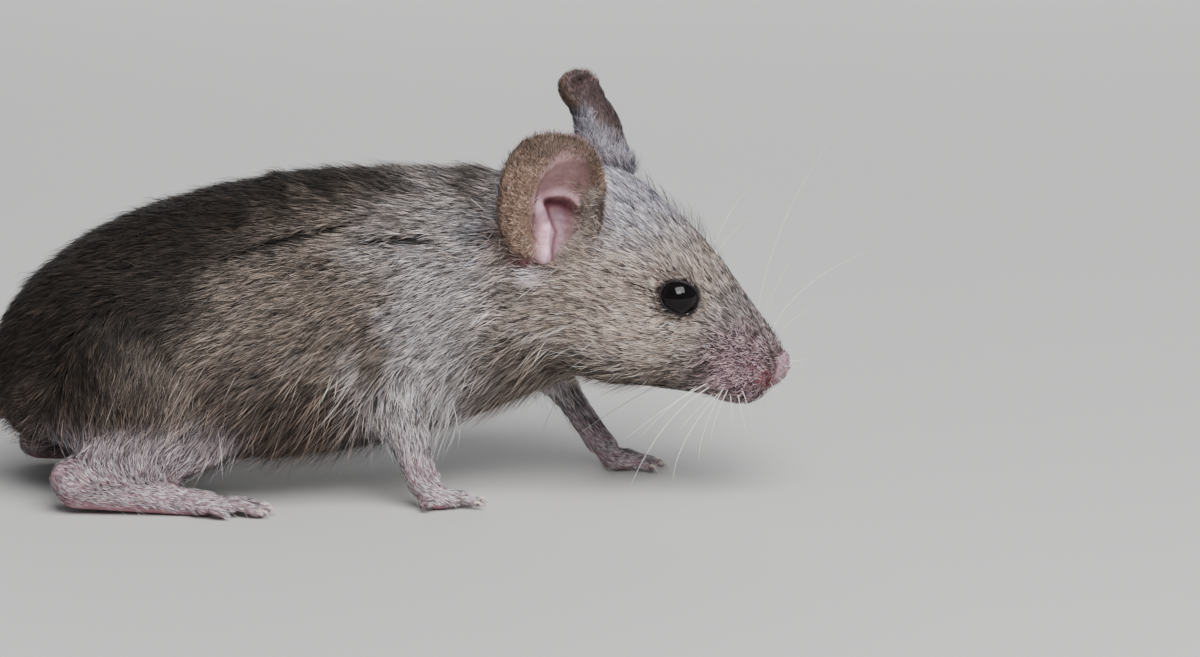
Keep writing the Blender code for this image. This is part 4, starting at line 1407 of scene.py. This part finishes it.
class Growth:
    """What makes one piece of the coat differ: how many its hairs are and how they stand."""
    share_of_hairs = 1.0         # of the hairs that the skin asks for
    segments = 2
    clump_gap = 0.65             # between the middles of two locks
    clump = 1.0                  # how far the hairs of a lock lean together
    length, width, height = 1.0, 1.0, 1.0    # as shares of what the skin asks for
    spread = 6.0                 # of the hairs' turns, in degrees
    dark = 0.24                  # share of dark hairs
    tint = 1.0
    tick = 1.0                   # how much strands differ in shade
    sag = 0.0                    # how far the tips hang

    def __init__(self, name, seed, **special):
        self.name, self.seed = name, seed
        vars(self).update(special)


def growths(fields, points, normals):
    """Every piece of the coat with the weight of its hairs on the skin's vertices."""
    head, neck, trunk, ear = (fields[key] for key in ("head", "neck", "trunk", "ear"))
    thick = fields["thick"]
    left = (points[:, 1] > TRUNK_SIDE).astype(float)
    middle_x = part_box("trunk_front")[0].x / MM
    fore = (points[:, 0] > middle_x).astype(float)
    on_head = seen_from(HEAD, points)
    head_left = (on_head[:, 1] > 0).astype(float)
    rest = np.clip(1 - head - neck - trunk - ear, 0, 1)
    local = on_both_sides(points)
    pad = smooth_step(4.2, 2.6, np.linalg.norm(local - numbers(WHISKER_PAD), axis=1))
    behind = smooth_step(2.0, -2.0, local[:, 0])
    low = smooth_step(0.1, -0.5, normals[:, 2])
    cheek = 1 - 0.85 * pad
    face = dict(clump_gap=0.45, dark=0.16)
    lots = (
        ("coat_face_right", head * (1 - head_left) * cheek, face),
        ("coat_face_left", head * head_left * cheek, face),
        ("coat_neck", neck, dict(clump_gap=0.6)),
        ("coat_front_right", trunk * fore * (1 - left), {}),
        ("coat_front_left", trunk * fore * left, {}),
        ("coat_rear_right", trunk * (1 - fore) * (1 - left), {}),
        ("coat_rear_left", trunk * (1 - fore) * left, {}),
        ("coat_legs", rest, dict(clump_gap=0.6, spread=9.0, dark=0.12)),
        ("coat_ears", ear, dict(clump_gap=0.3, clump=0.3, spread=22.0, dark=0.30, height=1.5,
                                tick=0.5)),
        ("coat_muzzle", 0.85 * head * pad, dict(clump_gap=0.3, clump=0.8, spread=30.0, dark=0.32,
                                                length=1.2, width=1.1, height=2.6, tint=1.3)),
    )
    for index, (name, weight, special) in enumerate(lots):
        yield Growth(name, 20 + index, **special), weight * thick
    long = dict(segments=3, clump_gap=0.9, length=1.5, tint=0.9)
    yield (Growth("coat_guard", 41, share_of_hairs=0.06, clump=0.4, width=0.85, height=1.42,
                  spread=12.0, dark=0.75, **long),
           (trunk + neck) * thick)
    from_nose = np.linalg.norm(points - numbers(NOSE), axis=1)
    yield (Growth("coat_brow", 42, share_of_hairs=0.026, clump=0.1, width=0.75, height=3.4,
                  spread=14.0, dark=0.55, **long),
           head * thick * smooth_step(6.0, 14.0, from_nose) * smooth_step(0.1, 0.6, normals[:, 2]))
    yield (Growth("coat_fringe", 43, share_of_hairs=0.075, segments=3, clump_gap=1.1, clump=0.2,
                  length=2.1, width=0.6, height=1.7, spread=18.0, dark=0.1, tint=2.4, sag=1.0),
           (trunk + neck + 0.6 * rest + head * behind) * thick * low)


# The skin and the hairs along each parting are darkened with painted shade.
# Where the coat of the right flank has opened in a thin dark line: places as shares of the trunk's
# length and height, with how far off the line hairs are drawn
PARTINGS = (
    (((0.545, 0.773), (0.620, 0.808), (0.700, 0.830), (0.780, 0.858)), 0.44),
    (((0.795, 0.815), (0.875, 0.817), (0.960, 0.818)), 0.34),
)


def near_partings(points):
    """How much each point on the right flank is drawn to a parting, and which way is off it."""
    pull = np.zeros(len(points))
    away = np.zeros((len(points), 3))
    flat = points * numbers((1, 0, 1))
    for parting, reach in PARTINGS:
        line = numbers([(RUMP_X + x * TRUNK_LENGTH, 0, z * TRUNK_TOP) for x, z in parting])
        gap, along = off_line(flat, line)
        thin = reach * (0.45 + 0.55 * np.sin(math.pi * along))
        near = (points[:, 1] < TRUNK_SIDE) * np.exp(-(gap / thin) ** 2)
        pull = np.maximum(pull, near)
        away[:, 2] += near * (flat[:, 2] > np.interp(flat[:, 0], line[:, 0], line[:, 2]))
    return pull, away


def hair_piece(growth, weight, surface, fields, normals, uvs, settings):
    """One piece of the coat: thousands of thin tapering hairs as one mesh."""
    rng = np.random.default_rng(growth.seed)
    hairs = planted(growth, weight, surface, fields, normals, settings, rng)
    rings = hair_rings(growth, hairs, settings)
    points, along, cross = ribbons(growth, hairs, rings)
    per_hair = len(along)
    corners = ribbon_corners(growth, per_hair, hairs.count)
    mesh = hair_mesh(growth.name, points, corners)
    store(mesh, "tone", np.repeat(with_alpha(hair_tones(growth, hairs, rng)), per_hair, axis=0))
    store(mesh, "along", np.tile(along, hairs.count))
    root_uv = (uvs[hairs.faces] * hairs.corners[:, :, None]).sum(1)
    patch = np.stack([cross * 0.5, along - 0.5], 1) * PATCH
    hair_uv = (root_uv[:, None] + patch[None]).reshape(-1, 2)
    layer = mesh.uv_layers.new(name="OFBake")
    layer.data.foreach_set("uv", hair_uv[corners].astype(np.float32).ravel())
    mesh.normals_split_custom_set_from_vertices(hair_normals(hairs, rings, rng))
    return new_object(growth.name, mesh)


def planted(growth, weight, surface, fields, normals, settings, rng):
    """Where the hairs of a piece have their roots, how each lies and how large it is."""
    total = (surface.areas() * weight[surface.triangles].mean(1)).sum()
    count = int(total * growth.share_of_hairs * settings.amount)
    faces, corners = scattered(surface, weight, count, rng)
    root = rows_at(surface, surface.points, faces, corners)
    up = unit(rows_at(surface, normals, faces, corners))
    lie = rows_at(surface, fields["lie"], faces, corners)
    depth, length, width, bend, head = (rows_at(surface, fields[key], faces, corners)
                                        for key in ("depth", "length", "width", "bend", "head"))
    tone = rows_at(surface, fields["fur"], faces, corners)[:, :3]

    # Locks: hairs near one centre share its turn, height and tone, and lean together
    area = surface.areas()[np.unique(faces)].sum()
    locks = max(40, int(area / growth.clump_gap ** 2))
    lock_faces, lock_corners = scattered(surface, weight, locks, rng)
    lock_root = rows_at(surface, surface.points, lock_faces, lock_corners)
    lock = nearest_index(lock_root, root)
    lock_turn = rng.normal(0, math.radians(3), locks) + math.radians(8) * ripple(lock_root, 7.0, 21)
    lock_height = rng.normal(1.0, 0.10, locks)
    lock_tone = rng.normal(1.0, 0.07, locks)

    # Strands: the few hairs of a strand share a shade and a turn
    _, strand = np.unique(np.floor(root / STRAND).astype(int), axis=0, return_inverse=True)
    strand = strand.ravel()
    strands = strand.max() + 1
    strand_tone = np.clip(rng.normal(1.0, settings.ticking * growth.tick, strands), 0.18, 2.4)
    strand_turn = rng.normal(0, math.radians(7), strands)

    turn = lock_turn[lock] + strand_turn[strand] + rng.normal(0, math.radians(growth.spread), count)
    pull, away = near_partings(root)
    lie = unit(lie - up * (lie * up).sum(1)[:, None])
    lie = unit(lie + away * 0.8 - up * (away * up).sum(1)[:, None])
    lie = lie * np.cos(turn)[:, None] + np.cross(up, lie) * np.sin(turn)[:, None]
    across = np.cross(up, lie)
    reach = length * growth.length * settings.length * rng.uniform(0.72, 1.15, count)
    stand = np.clip(lock_height[lock] + rng.normal(0, 0.16, count), 0.3, 1.9)
    height = np.maximum(depth * growth.height * stand, 0.17 * growth.height) * (1 - 0.75 * pull)
    if growth.sag:
        reach = reach * rng.uniform(0.55, 1.1, count)
    rolls = rng.normal(0, math.radians(34), count)
    flat = across * np.cos(rolls)[:, None] + up * np.sin(rolls)[:, None]
    half = width * growth.width * 0.5 * rng.uniform(0.75, 1.25, count)
    drawn = lock_root[lock] - root
    drawn -= up * (drawn * up).sum(1)[:, None]
    shade = lock_tone[lock] * strand_tone[strand]
    return SimpleNamespace(count=count, faces=faces, corners=corners, root=root, up=up, lie=lie,
                           flat=flat, reach=reach, height=height, half=half, drawn=drawn,
                           bend=bend, head=head, tone=tone, shade=shade, pull=pull)


def hair_rings(growth, hairs, settings):
    """The middle of every hair at each of its stops, from its root to its tip."""
    gather = settings.clump * growth.clump
    rings = []
    for stop in HAIR_STOPS[growth.segments]:
        run = hairs.reach * stop
        lift = hairs.height * (1 - (1 - stop) ** 2) - hairs.bend * run ** 2 / 2 - ROOT_DEPTH
        lift = np.maximum(lift, -ROOT_DEPTH - 0.25 * run) if stop else lift
        spot = hairs.root + hairs.lie * (run * (1 - 0.06 * stop))[:, None]
        spot = spot + hairs.up * lift[:, None] + hairs.drawn * (gather * stop ** 1.3)
        if growth.sag:
            spot[:, 2] -= growth.sag * hairs.reach * 0.30 * stop ** 1.6
        spot[:, 2] = np.maximum(spot[:, 2], 0.05)
        rings.append(spot)
    return rings


def ribbons(growth, hairs, rings):
    """Every hair's points, and for the points of one hair the way along it and across it."""
    places, along, cross = [], [], []
    stops, widths = HAIR_STOPS[growth.segments], HAIR_WIDTHS[growth.segments]
    for stop, spot, share_left in zip(stops, rings, widths):
        for sign in (-1, 1):
            places.append(spot + hairs.flat * (sign * hairs.half * share_left)[:, None])
            along.append(stop)
            cross.append(sign)
    points = np.stack(places + [rings[-1]], 1).reshape(-1, 3)
    return points, numbers(along + [1.0]), numbers(cross + [0])


def ribbon_corners(growth, per_hair, count):
    """The corners of the faces of all the hairs in a row, wound to face outwards."""
    one = []
    for k in range(0, 2 * growth.segments - 2, 2):
        one += [(k + 1, k, k + 2), (k + 1, k + 2, k + 3)]
    one.append((per_hair - 2, per_hair - 3, per_hair - 1))
    one = np.array(one, np.int64)
    return (one[None] + (np.arange(count) * per_hair)[:, None, None]).reshape(-1)


def hair_tones(growth, hairs, rng):
    """Most hairs are banded and pale, some are dark guard hairs."""
    count = hairs.count
    is_dark = rng.random(count) < growth.dark * (1 - 0.4 * hairs.head)
    tint = np.where(is_dark, rng.uniform(0.22, 0.55, count), rng.uniform(0.88, 1.42, count))
    # painted shade on the hairs at the partings
    tint = tint * hairs.shade * growth.tint * (1 - 0.85 * hairs.pull)
    warm = rng.normal(0, 0.045, (count, 1)) * numbers((1.0, 0.2, -1.0))
    return np.clip(hairs.tone * tint[:, None] * (1 + warm), 0.004, 0.95)


def hair_normals(hairs, rings, rng):
    """Each hair is shaded by the way the coat faces, not by the way its own ribbon lies."""
    up = hairs.up
    shade = []
    last = len(rings) - 1
    for k in range(len(rings)):
        run = unit(rings[min(k + 1, last)] - rings[max(0, k - 1)])
        facing = unit(up - run * (up * run).sum(1)[:, None])
        facing = unit(facing + hairs.flat * rng.normal(0, 0.22, hairs.count)[:, None])
        shade += [facing] * (2 if k < last else 1)
    return np.stack(shade, 1).reshape(-1, 3).astype(np.float32)


def hair_mesh(name, points, corners):
    """A mesh of triangles from points in millimetres and the corners of its faces in a row."""
    mesh = bpy.data.meshes.new(name)
    mesh.vertices.add(len(points))
    mesh.vertices.foreach_set("co", (points * MM).astype(np.float32).ravel())
    mesh.loops.add(len(corners))
    mesh.loops.foreach_set("vertex_index", corners.astype(np.int32))
    faces = len(corners) // 3
    mesh.polygons.add(faces)
    mesh.polygons.foreach_set("loop_start", np.arange(0, 3 * faces, 3, dtype=np.int32))
    mesh.update(calc_edges=True)
    mesh.shade_smooth()
    return mesh


class MOUSE_OT_coat(bpy.types.Operator):
    """Grow the coat out of the skin, lying from the nose to the tail"""
    bl_idname = "mouse.coat"
    bl_label = "Coat"

    def execute(self, context):
        settings = context.scene.mouse_coat
        mesh = bpy.data.objects["skin"].data
        surface = Surface(mesh)
        fields = {key: stored(mesh, key, 1) for key in (
            "depth", "length", "width", "thick", "bend", "ear", "head", "neck", "trunk")}
        fields["lie"] = stored(mesh, "lie", 3)
        fields["fur"] = stored(mesh, "fur", 4)
        normals = surface.normals()
        loops = np.zeros(2 * len(mesh.loops), np.float32)
        mesh.uv_layers["OFBake"].data.foreach_get("uv", loops)
        order = np.zeros(3 * len(mesh.loop_triangles), np.int32)
        mesh.loop_triangles.foreach_get("loops", order)
        uvs = loops.reshape(-1, 2)[order].reshape(-1, 3, 2)
        material = coat_material("mouse_coat", 0.62)
        for growth, weight in growths(fields, surface.points, normals):
            piece = hair_piece(growth, weight, surface, fields, normals, uvs, settings)
            slot = "leg_coat" if growth.name == "coat_legs" else "coat"
            finished(piece, material, slot)
        return {"FINISHED"}


# ---------------------------------------------------------------- the stage

def floor_material(tone):
    """Matt pale paper with the faintest unevenness."""
    recipe = Recipe("studio_floor")
    paper = recipe.uneven(tone, 6.0, 2.0, 0.97, 1.0)
    return recipe.finish(paper, Roughness=0.85, Specular_IOR_Level=0.2)


# Of each soft light: where it stands beside what the camera looks at, and its sides, in metres
LIGHTS = {
    "key": ((0.12, -0.38, 0.47), (0.50, 0.40)),
    "window": ((0.06, -0.43, 0.30), (0.19, 0.15)),
    "fill": ((0.03, 0.44, 0.12), (0.45, 0.22)),
}


def soft_light(name, place, aim, size_m, watts):
    light = bpy.data.lights.new(name, "AREA")
    light.shape = "RECTANGLE"
    light.size, light.size_y = size_m
    light.energy = watts
    obj = new_object(name, light)
    obj.location = place
    obj.rotation_euler = (Vector(aim) - Vector(place)).to_track_quat("-Z", "Y").to_euler()
    obj.visible_camera = False
    return obj


class MOUSE_OT_stage(bpy.types.Operator):
    """Set up the floor, the soft light and the camera"""
    bl_idname = "mouse.stage"
    bl_label = "Studio"

    def execute(self, context):
        settings = context.scene.mouse_stage
        scene = context.scene
        deselect()
        bpy.ops.mesh.primitive_plane_add(size=6.0, location=(0, 0, 0))
        floor = bpy.context.object
        floor.name = floor.data.name = "studio_floor"
        sweep_up(floor)
        floor.data.materials.append(floor_material(settings.floor))

        aim = (EYES["right"] + Vector((-6.45, -0.35, -2.6))) * MM
        lift = settings.elevation
        back = Vector((0, -math.cos(lift), math.sin(lift)))
        camera = bpy.data.cameras.new("camera")
        camera.sensor_width = 36.0
        camera.lens = 36.0 * settings.distance / settings.view
        camera.clip_start = 0.01
        holder = new_object("camera", camera)
        holder.location = aim + back * settings.distance
        holder.rotation_euler = (-back).to_track_quat("-Z", "Y").to_euler()
        scene.camera = holder

        for name, (place, size_m) in LIGHTS.items():
            soft_light(name, aim + Vector(place), aim, size_m, getattr(settings, name))
        world = bpy.data.worlds.new("studio")
        world.use_nodes = True
        sky = world.node_tree.nodes["Background"]
        sky.inputs["Color"].default_value = (0.86, 0.92, 1.0, 1.0)
        sky.inputs["Strength"].default_value = settings.sky
        scene.world = world
        return {"FINISHED"}


SWEEP = 0.5                  # how far behind the mouse the floor starts to rise


def sweep_up(floor):
    """Curves the far side of the floor up into a backdrop."""
    only(floor)
    bpy.ops.object.mode_set(mode="EDIT")
    bpy.ops.mesh.select_all(action="SELECT")
    bpy.ops.mesh.subdivide(number_cuts=60)
    bpy.ops.object.mode_set(mode="OBJECT")
    for vertex in floor.data.vertices:
        beyond = max(0.0, vertex.co.y - SWEEP)
        vertex.co.z += 0.6 * beyond ** 2
    floor.data.shade_smooth()


# ---------------------------------------------------------------- the panel

STEPS = ("mouse.skin", "mouse.eyes", "mouse.claws", "mouse.whiskers", "mouse.coat", "mouse.stage")
SETTINGS = {
    "mouse_skin": MouseSkinSettings,
    "mouse_coat": MouseCoatSettings,
    "mouse_detail": MouseDetailSettings,
    "mouse_stage": MouseStageSettings,
}


class MOUSE_PT_panel(bpy.types.Panel):
    """Steps and settings of the mouse"""
    bl_idname = "MOUSE_PT_panel"
    bl_label = "House mouse"
    bl_space_type = "VIEW_3D"
    bl_region_type = "UI"
    bl_category = "Mouse"

    def draw(self, context):
        for step in STEPS:
            self.layout.operator(step)
        for name, group in SETTINGS.items():
            box = self.layout.box()
            for key in group.__annotations__:
                box.prop(getattr(context.scene, name), key)


CLASSES = (*SETTINGS.values(), MOUSE_OT_skin, MOUSE_OT_eyes, MOUSE_OT_claws, MOUSE_OT_whiskers,
           MOUSE_OT_coat, MOUSE_OT_stage, MOUSE_PT_panel)


def register():
    for cls in CLASSES:
        bpy.utils.register_class(cls)
    for name, group in SETTINGS.items():
        setattr(bpy.types.Scene, name, PointerProperty(type=group))


def unregister():
    for name in SETTINGS:
        delattr(bpy.types.Scene, name)
    for cls in reversed(CLASSES):
        bpy.utils.unregister_class(cls)


def main():
    register()
    for step in STEPS:
        module, name = step.split(".")
        getattr(getattr(bpy.ops, module), name)()


if __name__ == "__main__":
    main()
